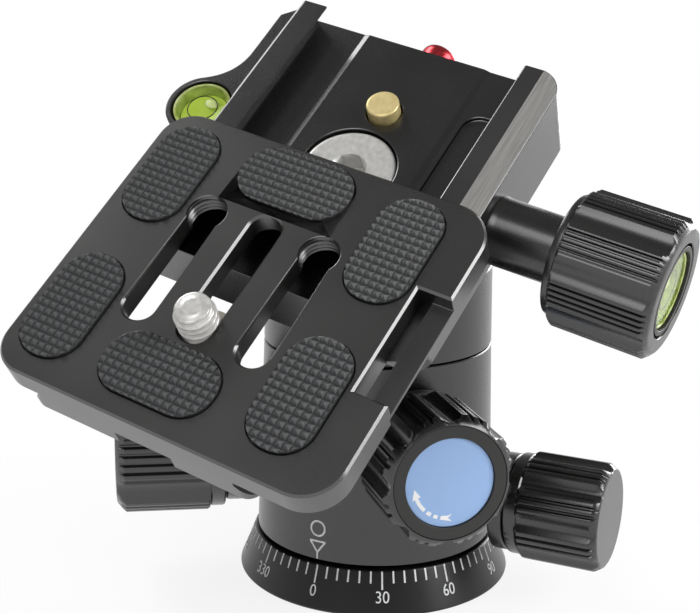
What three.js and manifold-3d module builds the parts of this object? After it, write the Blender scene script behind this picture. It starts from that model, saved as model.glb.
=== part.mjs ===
// Tripod ball head with a panning base, a screw clamp and a sliding camera plate.
//
// Lengths are in millimetres and +Z is up. The origin lies on the pan axis, on the
// underside of the base. +X points at the zero mark of the degree scale.

import * as THREE from 'three';
import { mergeVertices } from 'three/addons/utils/BufferGeometryUtils.js';
import Module from 'manifold-3d';

const wasm = await Module();
wasm.setup();

// Sizes that drive the whole part

const unit = 1;                        // one millimetre; every length below is a multiple of it
const gap = 0.3 * unit;                // between pieces that touch
const edge = 0.4 * unit;               // small bevel on turned and milled edges

const scale = {
  topRadius: 22 * unit,
  bottomRadius: 24.9 * unit,
  height: 7.5 * unit,
  socketRadius: 4.76 * unit,           // thread for the tripod's screw
};

const housing = {
  radius: 20.5 * unit,
  bottom: 8 * unit,
  parting: 43.4 * unit,                // height of the groove under the rim collar
  top: 58.5 * unit,
  wall: 3 * unit,
  floor: 19.7 * unit,                  // underside of the web over the spindle
  web: 2.3 * unit,
  rimRound: 0.9 * unit,
};

const spindle = {
  radius: 12 * unit,
  neck: 7 * unit,
  groove: 1.5 * unit,
  washerRadius: 10 * unit,
  washer: 1.7 * unit,
};

const ball = {
  radius: 16.5 * unit,
  height: 51.5 * unit,                 // of its centre over the origin
  neck: 5 * unit,                      // radius of the stem where it leaves the ball
  stud: 3 * unit,
  studDepth: 10.5 * unit,
};

const pose = {
  towards: 12.75,                      // degrees from +X to the side the stem leans to
  lean: 42.25,                         // degrees of the stem from upright
  spin: 71.54,                         // degrees of the clamp about the stem
};

const mainLock = {
  azimuth: -55,
  height: 26.3 * unit,
  shaft: 4 * unit,
  tip: 9.6 * unit,
  collarFrom: 24.7 * unit,
  collarRadius: 12.4 * unit,
  from: 28 * unit,
  to: 47.2 * unit,
  radius: 14 * unit,
  chamfer: 1.5 * unit,
  chamferIn: 1.7 * unit,
  periods: 6,
  ribs: 5,
  rib: 0.65 * unit,
  scallop: 1.3 * unit,
};

const friction = {
  azimuth: 44,
  height: 29.6 * unit,
  shaft: 2.5 * unit,
  tip: 11.2 * unit,
  from: 22.3 * unit,
  to: 39 * unit,
  radius: 11.2 * unit,
  chamfer: 1.2 * unit,
  chamferIn: 1.3 * unit,
  periods: 8,
  ribs: 3,
  rib: 0.6 * unit,
  scallop: 1 * unit,
  ringRadius: 9.65 * unit,
  discRadius: 7.45 * unit,
  discSunk: 0.5 * unit,
};

const panLock = {
  azimuth: 92,
  height: 16.5 * unit,
  shaft: 2 * unit,
  tip: 12.3 * unit,
  collarFrom: 25 * unit,
  collarRadius: 8.6 * unit,
  from: 28 * unit,
  to: 44.7 * unit,
  radius: 9.5 * unit,
  chamfer: 1.3 * unit,
  chamferIn: 0.9 * unit,
  periods: 8,
  ribs: 3,
  rib: 0.55 * unit,
  scallop: 0.9 * unit,
};

// The clamp is measured from the ball's centre: x across the rails towards the clamp
// knob, y along the rails, z along the stem.
const clamp = {
  front: -24.7 * unit,
  back: 27.1 * unit,
  bottom: 24 * unit,
  platform: 35.3 * unit,
  floor: 35.0 * unit,
  top: 39.3 * unit,
  left: -27.3 * unit,
  right: 18.4 * unit,
  platformHalf: 11 * unit,
  platformEdge: 0.95 * unit,
  wallOut: -23.3 * unit,               // outer edge of the fixed jaw's top
  wallSlope: 1.6 * unit,
  ledge: 36.9 * unit,                  // the step outside it, level with the lug
  recessLeft: 12.9 * unit,             // rounded recess in the floor by the moving jaw
  recessHalf: 16.5 * unit,
  recessDeep: 0.6 * unit,
  recessRound: 3 * unit,
  lip: 0.3 * unit,
  corner: 2.7 * unit,                  // cut off the back end of the fixed jaw
  round: 2 * unit,
};

const screw = {
  y: 0,
  head: 7.7 * unit,
  seat: 29.8 * unit,
  top: 35.0 * unit,
  shank: 3 * unit,
  end: 17.6 * unit,
  hex: 3 * unit,
  hexDepth: 3.2 * unit,
};

const jaw = {
  flat: 3.4 * unit,                    // width of the flat along the lip
  drop: 0.9 * unit,                    // fall of the bevel outside it
  round: 3.6 * unit,                   // its outer corners in plan
  out: 25.6 * unit,
  bottom: 24.5 * unit,
  open: 2.7 * unit,                    // how far it stands off the plate at rest
  pin: 2 * unit,
  pinZ: 28 * unit,
  pinFront: -17 * unit,
  pinBack: 19 * unit,
  pinEnd: 9.5 * unit,
  neck: 5.4 * unit,
  neckEnd: 33 * unit,
};

const clampKnob = {
  y: 1.2 * unit,
  z: 30.5 * unit,
  shaft: 3 * unit,
  shaftEnd: 14.8 * unit,
  washer: 7 * unit,
  from: 34.6 * unit,
  to: 55 * unit,
  radius: 11 * unit,
  chamfer: 1.1 * unit,
  chamferIn: 1.2 * unit,
  periods: 8,
  ribs: 5,
  rib: 0.5 * unit,
  scallop: 0.9 * unit,
  ring: 7.2 * unit,
  window: 6.2 * unit,
  sunk: 0.5 * unit,
};

const level = {
  x: -29.05 * unit,
  y: 1.4 * unit,
  window: 5.1 * unit,
  lug: 6.2 * unit,
  top: clamp.ledge,
  bottom: 29.5 * unit,
  depth: 5 * unit,
  spread: 13.5 * unit,                   // where the lug's sides run into the jaw
  meets: 121,                          // degrees round the lug, where its sides leave it
};

const stopPin = {
  x: -0.15 * unit,
  y: 12.6 * unit,
  radius: 2.75 * unit,
  top: 37.4 * unit,
  bottom: 28 * unit,
  travel: 2.8 * unit,
};

const button = {
  x: -0.15 * unit,
  z: 29.7 * unit,
  radius: 3.3 * unit,
  out: 4.5 * unit,
  deep: 1.1 * unit,
  stem: 1.5 * unit,
  stemEnd: 17.9 * unit,
  travel: 2.3 * unit,
};

const plate = {
  left: -26.7 * unit,
  right: 31.1 * unit,
  front: -57.4 * unit,
  back: -5.5 * unit,
  under: 39.8 * unit,
  top: 44.4 * unit,
  cornerRight: 6.5 * unit,
  cornerLeft: 5.5 * unit,
  bevel: 0.35 * unit,
  railLeft: -21.4 * unit,
  railRight: 18.5 * unit,
  railBottom: 35.7 * unit,
  railEdge: 0.3 * unit,
  flank: 2.9 * unit,
  flankRise: 2.9 * unit,
  railRound: 2.5 * unit,               // the rail's corners in plan
  web: 3.3 * unit,
  pocketLeft: -16.4 * unit,
  pocketRight: 13 * unit,
  pocketFront: -48.5 * unit,
  pocketBack: -13.9 * unit,
  channelLeft: -5.2 * unit,
  channelRight: 4.7 * unit,
  channelDeep: 2.5 * unit,
};

const slot = {
  middle: -0.5 * unit,
  spacing: 10 * unit,
  width: 5.3 * unit,
  front: -42.7 * unit,
  back: -18.6 * unit,
  hole: 3.2 * unit,
};

const cutOut = {
  wall: 25.7 * unit,
  front: -39.8 * unit,
  back: -21.2 * unit,
  floor: 41.7 * unit,
  windowWide: 2 * unit,
  windowFront: -39.2 * unit,
  windowBack: -32 * unit,
  notchFront: -40.3 * unit,
  notchBack: -29 * unit,
  notchTop: 41 * unit,
  notchDeep: 1.6 * unit,
  groove: 40.5 * unit,                 // floor of the groove behind the window
};

const pad = {
  length: 18.9 * unit,
  width: 10.3 * unit,
  round: 4.8 * unit,
  recess: 0.9 * unit,
  proud: 0.5 * unit,
};

const padPlaces = [
  { name: 'pad_left_back', x: -19.9 * unit, y: -17.6 * unit, across: false },
  { name: 'pad_left_front', x: -19.9 * unit, y: -44.4 * unit, across: false },
  { name: 'pad_middle_back', x: -0.5 * unit, y: -11.9 * unit, across: true },
  { name: 'pad_middle_front', x: -0.9 * unit, y: -48.9 * unit, across: true },
  { name: 'pad_right_back', x: 19.5 * unit, y: -16.9 * unit, across: false },
  { name: 'pad_right_front', x: 19.3 * unit, y: -43.4 * unit, across: false },
];

const cameraScrew = {
  x: -0.4 * unit,
  y: -39.3 * unit,
  neck: 2.2 * unit,
  thread: 3.17 * unit,
  threadFrom: 44.9 * unit,
  top: 48.6 * unit,
  dome: 0.7 * unit,
  head: 5 * unit,
  headThick: 1.8 * unit,
  washer: 4.8 * unit,
  washerThick: 0.8 * unit,
  slot: 1.2 * unit,
};

// Sides of turned pieces, and of the arcs in drawn outlines
const around = { big: 42, hidden: 28, middle: 24, small: 14, corner: 4 };

// Materials, one for each kind of surface

const finishes = {
  black: { color: 0x2b2a29, roughness: 0.42, metalness: 0.35 },
  scale: { color: 0x232323, roughness: 0.5, metalness: 0.3 },
  steel: { color: 0xb9bbbd, roughness: 0.3, metalness: 0.9 },
  bright: { color: 0xd4d4d2, roughness: 0.22, metalness: 0.95 },
  brass: { color: 0xd8c074, roughness: 0.3, metalness: 0.9 },
  red: { color: 0xc0303a, roughness: 0.35, metalness: 0.4 },
  blue: { color: 0x9dbbe8, roughness: 0.45, metalness: 0.1 },
  lime: { color: 0xd7ee6e, roughness: 0.12, metalness: 0 },
  rubber: { color: 0x4a4c4e, roughness: 0.85, metalness: 0 },
  nylon: { color: 0xd9d4c6, roughness: 0.6, metalness: 0 },
};

function node(name, geometry, finish) {
  const mesh = new THREE.Mesh(geometry, new THREE.MeshStandardMaterial(finishes[finish]));
  mesh.name = name;
  return mesh;
}

// Solids: a closed geometry becomes a manifold, is cut or joined, and comes back

function solid(geometry) {
  const bare = geometry.clone();
  bare.deleteAttribute('normal');
  bare.deleteAttribute('uv');
  const merged = mergeVertices(bare, unit / 5000);
  const vertProperties = new Float32Array(merged.attributes.position.array);
  const all = merged.index.array;
  const kept = [];
  for (let i = 0; i < all.length; i += 3) {
    const [a, b, c] = [all[i], all[i + 1], all[i + 2]];
    if (a !== b && b !== c && c !== a) kept.push(a, b, c);
  }
  const point = (i) => new THREE.Vector3().fromArray(vertProperties, i * 3);
  let volume = 0;
  for (let i = 0; i < kept.length; i += 3) {
    volume += point(kept[i]).dot(point(kept[i + 1]).cross(point(kept[i + 2])));
  }
  if (volume < 0) kept.reverse();
  const triVerts = Uint32Array.from(kept);
  return new wasm.Manifold(new wasm.Mesh({ numProp: 3, vertProperties, triVerts }));
}

function body(manifold) {
  const mesh = manifold.getMesh();
  const geometry = new THREE.BufferGeometry();
  geometry.setAttribute('position', new THREE.BufferAttribute(mesh.vertProperties, 3));
  geometry.setIndex(new THREE.BufferAttribute(mesh.triVerts, 1));
  const faceted = geometry.toNonIndexed();
  faceted.computeVertexNormals();
  return faceted;
}

function cut(from, ...tools) {
  return tools.reduce((left, tool) => left.subtract(tool), from);
}

function join(...pieces) {
  return pieces.reduce((sum, piece) => sum.add(piece));
}

function common(one, other) {
  return one.intersect(other);
}

// A piece turned on the z axis from a profile of [radius, height] pairs
function turned(profile, sides) {
  const points = profile.map(([r, z]) => new THREE.Vector2(r, z));
  const closed = profile[0][0] === 0 && profile[profile.length - 1][0] === 0;
  if (!closed) points.push(points[0].clone());
  return new THREE.LatheGeometry(points, sides).rotateX(Math.PI / 2);
}

function rod(radius, from, to, sides = around.small) {
  return turned([[0, from], [radius, from], [radius, to], [0, to]], sides);
}

function alongX(geometry, y, z) {
  return geometry.rotateY(Math.PI / 2).translate(0, y, z);
}

function alongY(geometry, x, z) {
  return geometry.rotateX(-Math.PI / 2).translate(x, 0, z);
}

function block(x0, x1, y0, y1, z0, z1) {
  const box = new THREE.BoxGeometry(x1 - x0, y1 - y0, z1 - z0);
  return box.translate((x0 + x1) / 2, (y0 + y1) / 2, (z0 + z1) / 2);
}

// A section of [x, z] pairs drawn out along y
function rail(section, front, back) {
  const shape = new THREE.Shape(section.map(([x, z]) => new THREE.Vector2(x, z)));
  const drawn = new THREE.ExtrudeGeometry(shape, { depth: back - front, bevelEnabled: false });
  return drawn.rotateX(Math.PI / 2).translate(0, back, 0);
}

function upright(shape, from, to, curveSegments = around.corner) {
  const drawn = new THREE.ExtrudeGeometry(shape, { depth: to - from, bevelEnabled: false, curveSegments });
  return drawn.translate(0, 0, from);
}

// A rectangle about the origin with one radius for its left and one for its right corners
function softRectangle(width, height, left, right) {
  const x = width / 2;
  const y = height / 2;
  const shape = new THREE.Shape();
  shape.moveTo(-x + left, -y);
  shape.lineTo(x - right, -y);
  shape.absarc(x - right, -y + right, right, -Math.PI / 2, 0);
  shape.lineTo(x, y - right);
  shape.absarc(x - right, y - right, right, 0, Math.PI / 2);
  shape.lineTo(-x + left, y);
  shape.absarc(-x + left, y - left, left, Math.PI / 2, Math.PI);
  shape.lineTo(-x, -y + left);
  shape.absarc(-x + left, -y + left, left, Math.PI, 1.5 * Math.PI);
  return shape;
}

function longHole(width, length) {
  return softRectangle(width, length, width / 2, width / 2);
}

// The arc of a circle of the given radius between two heights, as profile points
function arcPoints(radius, from, to, steps) {
  const points = [];
  const start = Math.asin(from / radius);
  const end = Math.asin(to / radius);
  for (let i = 0; i <= steps; i += 1) {
    const angle = start + (end - start) * i / steps;
    points.push([radius * Math.cos(angle), radius * Math.sin(angle)]);
  }
  return points;
}

// Knobs: groups of ribs between shallow scallops, a plain flange at the back and a
// bevel at the face. The grip is a grid of radii, closed at both ends.

const scallopShare = 0.45;             // of one period
const ribTopShare = 0.45;              // of one rib's pitch
const flangeShare = 0.14;              // of a knob's length
const scallopSteps = 3;

function gripOutline(knob) {
  const points = [];
  const period = 2 * Math.PI / knob.periods;
  const scallop = period * scallopShare;
  const pitch = (period - scallop) / knob.ribs;
  const top = pitch * ribTopShare;
  for (let p = 0; p < knob.periods; p += 1) {
    const start = p * period - scallop / 2;
    for (let i = 0; i < scallopSteps; i += 1) {
      const along = i / scallopSteps;
      points.push([start + scallop * along, knob.radius - knob.scallop * 4 * along * (1 - along)]);
    }
    for (let r = 0; r < knob.ribs; r += 1) {
      const from = start + scallop + r * pitch;
      points.push([from, knob.radius], [from + top, knob.radius]);
      if (r < knob.ribs - 1) points.push([from + (top + pitch) / 2, knob.radius - knob.rib]);
    }
  }
  return points;
}

function grip(knob) {
  const outline = gripOutline(knob);
  const flange = knob.radius - knob.rib;
  const flangeThick = (knob.to - knob.from) * flangeShare;
  const stations = [
    { z: knob.from, plain: flange },
    { z: knob.from + flangeThick, plain: flange },
    { z: knob.from + flangeThick + edge, limit: knob.radius },
    { z: knob.to - knob.chamfer, limit: knob.radius },
    { z: knob.to, limit: knob.radius - knob.chamferIn },
  ];
  const positions = [];
  const index = [];
  const count = outline.length;
  for (const station of stations) {
    for (const [angle, radius] of outline) {
      const r = station.plain ?? Math.min(radius, station.limit);
      positions.push(r * Math.cos(angle), r * Math.sin(angle), station.z);
    }
  }
  positions.push(0, 0, knob.from, 0, 0, knob.to);
  const first = stations.length * count;
  for (let i = 0; i < count; i += 1) {
    const next = (i + 1) % count;
    for (let s = 0; s < stations.length - 1; s += 1) {
      const [a, b] = [s * count + i, s * count + next];
      index.push(a, b, b + count, a, b + count, a + count);
    }
    const last = (stations.length - 1) * count;
    index.push(first, next, i, first + 1, last + i, last + next);
  }
  const geometry = new THREE.BufferGeometry();
  geometry.setAttribute('position', new THREE.Float32BufferAttribute(positions, 3));
  geometry.setIndex(index);
  return solid(geometry);
}

// A group whose z axis points away from the pan axis at an azimuth and a height
function radialGroup(knob) {
  const group = new THREE.Group();
  group.position.set(0, 0, knob.height);
  group.rotation.set(0, Math.PI / 2, THREE.MathUtils.degToRad(knob.azimuth), 'ZYX');
  return group;
}

function radialHole(knob, radius, from, to) {
  const hole = rod(radius, from, to).rotateY(Math.PI / 2);
  return solid(hole.rotateZ(THREE.MathUtils.degToRad(knob.azimuth)).translate(0, 0, knob.height));
}

// Panning base

function makeBase() {
  const s = scale;
  const slope = (s.bottomRadius - s.topRadius) / s.height;
  const disc = turned([
    [s.socketRadius, 0],
    [s.bottomRadius - edge, 0],
    [s.bottomRadius - edge * slope, edge],
    [s.topRadius + edge * slope, s.height - edge],
    [s.topRadius - edge, s.height],
    [s.socketRadius, s.height],
  ], around.big);

  const p = spindle;
  const bottom = s.height + gap;
  const top = housing.floor - gap;
  const over = housing.floor + housing.web;
  const post = turned([
    [0, bottom],
    [p.radius, bottom],
    [p.radius, panLock.height - p.groove],
    [p.radius - p.groove, panLock.height],
    [p.radius, panLock.height + p.groove],
    [p.radius, top],
    [p.neck, top],
    [p.neck, over],
    [0, over],
  ], around.hidden);
  const washer = rod(p.washerRadius, over + gap, over + gap + p.washer);

  return [
    node('scale_base', disc, 'scale'),
    node('pan_spindle', post, 'steel'),
    node('pan_washer', washer, 'steel'),
  ];
}

// Housing with its rim collar, the seats of the ball and the block under them

function makeHousing() {
  const h = housing;
  const bore = h.radius - h.wall;
  const spindleBore = spindle.radius + gap;
  const split = h.parting - gap / 2;
  const shell = cut(
    solid(turned([
      [spindleBore, h.bottom],
      [h.radius - edge, h.bottom],
      [h.radius, h.bottom + edge],
      [h.radius, split - edge],
      [h.radius - edge, split],
      [bore, split],
      [bore, h.floor + h.web],
      [spindle.neck + gap, h.floor + h.web],
      [spindle.neck + gap, h.floor],
      [spindleBore, h.floor],
    ], around.big)),
    radialHole(mainLock, mainLock.shaft + gap, bore - h.wall, h.radius + h.wall),
    radialHole(friction, friction.shaft + gap, bore - h.wall, h.radius + h.wall),
    radialHole(panLock, panLock.shaft + gap, spindle.radius - gap, h.radius + h.wall),
  );

  const inner = ball.radius + gap;
  const lipDepth = h.wall * 0.8;
  const lipHeight = h.top - ball.height - lipDepth;
  const seatTop = h.top - lipDepth - gap;
  const lip = arcPoints(inner, lipHeight, h.top - ball.height, 3)
    .map(([r, z]) => [r, z + ball.height]).reverse();
  const collar = turned([
    [bore, h.parting + gap / 2],
    [h.radius - edge, h.parting + gap / 2],
    [h.radius, h.parting + gap / 2 + edge],
    [h.radius, h.top - h.rimRound],
    [h.radius - h.rimRound * 0.3, h.top - h.rimRound * 0.3],
    [h.radius - h.rimRound, h.top],
    ...lip,
    [bore, h.top - lipDepth],
  ], around.big);

  const seatLow = ball.height + gap;
  const seatArc = arcPoints(inner - gap * 0.2, seatLow - ball.height, seatTop - ball.height, 2)
    .map(([r, z]) => [r, z + ball.height]).reverse();
  const ring = turned([
    [bore - gap, seatLow],
    [bore - gap, seatTop],
    ...seatArc,
  ], around.hidden);

  const wide = ball.neck + 2 * gap;
  const drop = join(
    solid(block(-h.radius - h.wall, 0, -wide, wide, ball.height, h.top + h.wall)),
    solid(rod(wide, 0, h.radius + h.wall).rotateY(-Math.PI / 2).translate(0, 0, ball.height)),
  );

  const blockBottom = h.floor + h.web + gap + spindle.washer + gap;
  const cupBottom = ball.height - ball.radius - 2.1 * unit;
  const blockTop = cupBottom - gap;
  const lift = turned([
    [0, blockBottom],
    [spindle.neck, blockBottom],
    [spindle.neck * 1.5, blockBottom + (blockTop - blockBottom) * 0.6],
    [spindle.neck * 1.5, blockTop],
    [0, blockTop],
  ], around.small);

  return [
    node('housing', body(shell), 'black'),
    node('rim_collar', body(cut(solid(collar), drop)), 'black'),
    node('upper_seat', body(cut(solid(ring), drop)), 'nylon'),
    node('lift_block', lift, 'steel'),
  ];
}

function makeLowerCup() {
  const inner = ball.radius + gap;
  const low = -ball.radius + 1.5 * unit;
  const high = -ball.radius * 0.4;
  const arc = arcPoints(inner, low, high, 4).map(([r, z]) => [r, z + ball.height]).reverse();
  const outer = housing.radius - housing.wall - gap;
  const bottom = ball.height - ball.radius - 2.1 * unit;
  const cup = turned([
    [arc[arc.length - 1][0], bottom],
    [outer - edge, bottom],
    [outer, bottom + edge],
    [outer, high + ball.height],
    ...arc,
  ], around.hidden);
  return [node('lower_cup', cup, 'nylon')];
}

// Knobs on the housing

function makeMainLock() {
  const k = mainLock;
  const group = radialGroup(k);
  const end = k.from + (k.to - k.from) * 0.6;
  const shaft = turned([
    [0, k.tip],
    [k.shaft * 0.3, k.tip],
    [k.shaft, k.tip + k.shaft],
    [k.shaft, end],
    [0, end],
  ], around.small);
  const bore = solid(rod(k.shaft + gap, k.collarFrom - gap, end + gap));
  const collar = cut(solid(turned([
    [0, k.collarFrom],
    [k.collarRadius - edge, k.collarFrom],
    [k.collarRadius, k.collarFrom + edge],
    [k.collarRadius, k.from - gap],
    [0, k.from - gap],
  ], around.middle)), bore);
  group.add(
    node('main_lock_knob', body(cut(grip(k), bore)), 'black'),
    node('main_lock_collar', body(collar), 'black'),
    node('main_lock_shaft', shaft, 'steel'),
  );
  return group;
}

function makeFriction() {
  const k = friction;
  const group = radialGroup(k);
  const end = k.from + (k.to - k.from) * 0.6;
  const shaft = turned([
    [0, k.tip],
    [k.shaft * 0.4, k.tip],
    [k.shaft, k.tip + k.shaft],
    [k.shaft, end],
    [0, end],
  ], around.small);
  const bore = solid(rod(k.shaft + gap, k.from - gap, end + gap));
  const ringFloor = k.to - 2 * k.discSunk - gap;
  const seat = solid(rod(k.ringRadius + gap / 2, ringFloor, k.to + gap, around.middle));
  const ring = turned([
    [k.discRadius + gap, ringFloor + gap],
    [k.ringRadius - gap / 2, ringFloor + gap],
    [k.ringRadius - gap / 2, k.to],
    [k.discRadius + gap, k.to],
  ], around.middle);
  const disc = rod(k.discRadius, ringFloor + gap, k.to - k.discSunk, around.middle);
  group.add(
    node('friction_knob', body(cut(grip(k), bore, seat)), 'black'),
    node('friction_ring', ring, 'black'),
    node('friction_disc', disc, 'blue'),
    node('friction_shaft', shaft, 'steel'),
  );
  return group;
}

function makePanLock() {
  const k = panLock;
  const group = radialGroup(k);
  const end = k.from + (k.to - k.from) * 0.6;
  const shaft = turned([
    [0, k.tip],
    [k.shaft * 0.3, k.tip],
    [k.shaft, k.tip + k.shaft],
    [k.shaft, end],
    [0, end],
  ], around.small);
  const bore = solid(rod(k.shaft + gap, k.collarFrom - gap, end + gap));
  const collar = cut(solid(turned([
    [0, k.collarFrom],
    [k.collarRadius - edge, k.collarFrom],
    [k.collarRadius, k.collarFrom + edge],
    [k.collarRadius, k.from - gap],
    [0, k.from - gap],
  ], around.middle)), bore);
  group.add(
    node('pan_lock_knob', body(cut(grip(k), bore)), 'black'),
    node('pan_lock_collar', body(collar), 'black'),
    node('pan_lock_shaft', shaft, 'steel'),
  );
  return group;
}

// Ball and stem, measured from the ball's centre

function makeBall() {
  const flat = Math.sqrt(ball.radius ** 2 - (ball.neck + edge) ** 2);
  const arc = arcPoints(ball.radius, -ball.radius * 0.9999, flat, 11);
  arc[0] = [0, -ball.radius];
  const sphere = turned([
    ...arc,
    [ball.stud + gap, flat],
    [ball.stud + gap, flat - ball.studDepth],
    [0, flat - ball.studDepth],
  ], around.big);
  return [node('ball', sphere, 'black')];
}

function makeStem() {
  const flat = Math.sqrt(ball.radius ** 2 - (ball.neck + edge) ** 2);
  const top = clamp.bottom - gap;
  const shoulder = flat + gap;
  const rise = top - shoulder;
  const wide = ball.neck * 1.8;
  const stem = cut(
    solid(turned([
      [0, flat - ball.studDepth + gap],
      [ball.stud, flat - ball.studDepth + gap],
      [ball.stud, shoulder],
      [ball.neck, shoulder],
      [ball.neck, shoulder + rise * 0.35],
      [wide * 0.95, top - rise * 0.28],
      [wide, top - rise * 0.18],
      [wide, top],
      [0, top],
    ], around.middle)),
    solid(rod(screw.shank + gap, screw.end - gap, top + gap).translate(0, screw.y, 0)),
  );
  const head = turned([
    [0, screw.end],
    [screw.shank, screw.end],
    [screw.shank, screw.seat],
    [screw.head, screw.seat],
    [screw.head, screw.top - edge],
    [screw.head - edge, screw.top],
    [0, screw.top],
  ], around.middle).translate(0, screw.y, 0);
  const hex = rod(screw.hex, screw.top - screw.hexDepth, screw.top + gap, 6).translate(0, screw.y, 0);
  return [
    node('stem', body(stem), 'black'),
    node('clamp_screw', body(cut(solid(head), solid(hex))), 'bright'),
  ];
}

// Clamp body with its fixed jaw and the lug that holds the side level

const lipOverlap = plate.flank;        // the lip hangs over the plate's flank by this
const nearShare = [0.21, 0.12];        // bend of the lug's sides, as shares of their spread
const farShare = 0.69;

function makeClampBody() {
  const c = clamp;
  const undercut = plate.railLeft - gap;
  const lipX = undercut + lipOverlap;
  const section = [
    [c.left + c.round, c.bottom],
    [c.right, c.bottom],
    [c.right, c.floor],
    [c.platformHalf + c.platformEdge, c.floor],
    [c.platformHalf, c.platform],
    [-c.platformHalf, c.platform],
    [-c.platformHalf - c.platformEdge, c.floor],
    [undercut, c.floor],
    [undercut, c.top - c.lip - plate.flankRise],
    [lipX, c.top - c.lip],
    [lipX, c.top],
    [c.wallOut, c.top],
    [c.wallOut - c.wallSlope, c.ledge],
    [c.left, c.ledge],
    [c.left, c.bottom + c.round],
    [c.left + c.round * 0.3, c.bottom + c.round * 0.3],
  ];

  const lug = new THREE.Shape();
  const inside = c.left + c.round;
  const reach = level.spread;
  const meets = THREE.MathUtils.degToRad(level.meets);
  const sideX = level.x + level.lug * Math.cos(meets);
  const sideY = level.lug * Math.sin(meets);
  const nearX = sideX + reach * nearShare[0];
  const nearY = sideY + reach * nearShare[1];
  lug.moveTo(inside, level.y - reach);
  lug.lineTo(c.left, level.y - reach);
  lug.bezierCurveTo(c.left, level.y - reach * farShare, nearX, level.y - nearY,
    sideX, level.y - sideY);
  lug.absarc(level.x, level.y, level.lug, -meets, meets, true);
  lug.bezierCurveTo(nearX, level.y + nearY, c.left, level.y + reach * farShare,
    c.left, level.y + reach);
  lug.lineTo(inside, level.y + reach);

  const middleY = (c.front + c.back) / 2;
  const recessWide = c.right + gap - c.recessLeft;
  const recess = softRectangle(recessWide, 2 * c.recessHalf, c.recessRound, edge);

  const backCorner = new THREE.Shape([
    new THREE.Vector2(c.left - gap, c.back - c.corner),
    new THREE.Vector2(c.left + c.corner, c.back + gap),
    new THREE.Vector2(c.left - gap, c.back + gap),
  ]);

  const pinHole = (y) => solid(alongX(
    rod(jaw.pin + gap, jaw.pinEnd - jaw.open - 2 * gap, c.right + gap), y, jaw.pinZ));

  const shell = cut(
    join(
      solid(rail(section, c.front, c.back)),
      solid(upright(lug, level.bottom, level.top, 2 * around.corner)),
    ),
    solid(upright(recess, c.floor - c.recessDeep, c.floor + gap)
      .translate(c.recessLeft + recessWide / 2, middleY, 0)),
    solid(upright(backCorner, c.bottom - gap, c.top + gap)),
    solid(rod(level.window + gap / 2, level.top - level.depth, c.top + gap, around.middle)
      .translate(level.x, level.y, 0)),
    solid(rod(screw.head + 1.5 * gap, screw.seat - gap, c.top, around.middle)
      .translate(0, screw.y, 0)),
    solid(rod(screw.shank + gap, c.bottom - gap, c.top).translate(0, screw.y, 0)),
    solid(rod(stopPin.radius + gap, stopPin.bottom - stopPin.travel - gap, c.top)
      .translate(stopPin.x, stopPin.y, 0)),
    solid(alongY(rod(button.radius + gap, c.back - button.deep - button.travel - gap, c.back + gap),
      button.x, button.z)),
    solid(alongY(rod(button.stem + gap, stopPin.y, c.back), button.x, button.z)),
    pinHole(jaw.pinFront),
    pinHole(jaw.pinBack),
    solid(alongX(rod(clampKnob.shaft + gap, clampKnob.shaftEnd - jaw.open - 2 * gap, c.right + gap),
      clampKnob.y, clampKnob.z)),
  );
  const vial = turned([
    [0, level.top - level.depth + gap],
    [level.window - gap / 2, level.top - level.depth + gap],
    [level.window - gap / 2, level.top - edge - gap],
    [level.window - gap / 2 - edge, level.top - gap],
    [0, level.top - gap],
  ], around.middle).translate(level.x, level.y, 0);

  return [
    node('clamp_body', body(shell), 'black'),
    node('side_level', vial, 'lime'),
  ];
}

// Moving jaw on its two guide pins

const plateNeck = plate.railRight - plate.flank;
const lipAtRest = plateNeck + gap + jaw.open;

function makeMovingJaw() {
  const c = clamp;
  const inner = lipAtRest + lipOverlap;
  const section = [
    [inner, jaw.bottom],
    [jaw.out - edge, jaw.bottom],
    [jaw.out, jaw.bottom + edge],
    [jaw.out, c.top - jaw.drop],
    [lipAtRest + jaw.flat, c.top],
    [lipAtRest, c.top],
    [lipAtRest, c.top - c.lip],
    [inner, c.top - c.lip - plate.flankRise],
  ];
  const wide = jaw.out - lipAtRest;
  const plan = softRectangle(wide, c.back - c.front, edge, jaw.round);
  const shell = cut(
    join(
      common(
        solid(rail(section, c.front - gap, c.back + gap)),
        solid(upright(plan, jaw.bottom - gap, c.top + gap)
          .translate(lipAtRest + wide / 2, (c.front + c.back) / 2, 0)),
      ),
      solid(alongX(rod(jaw.neck, jaw.out - gap, jaw.neckEnd, around.middle), clampKnob.y, clampKnob.z)),
    ),
    solid(alongX(rod(clampKnob.shaft + gap, inner - gap, jaw.neckEnd + gap), clampKnob.y, clampKnob.z)),
  );
  const pin = (y) => alongX(turned([
    [0, jaw.pinEnd],
    [jaw.pin - edge, jaw.pinEnd],
    [jaw.pin, jaw.pinEnd + edge],
    [jaw.pin, inner - gap],
    [0, inner - gap],
  ], around.small), y, jaw.pinZ);
  return [
    node('moving_jaw', body(shell), 'black'),
    node('guide_pin_front', pin(jaw.pinFront), 'steel'),
    node('guide_pin_back', pin(jaw.pinBack), 'steel'),
  ];
}

// Clamp knob with its bolt and the level in its face

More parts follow.
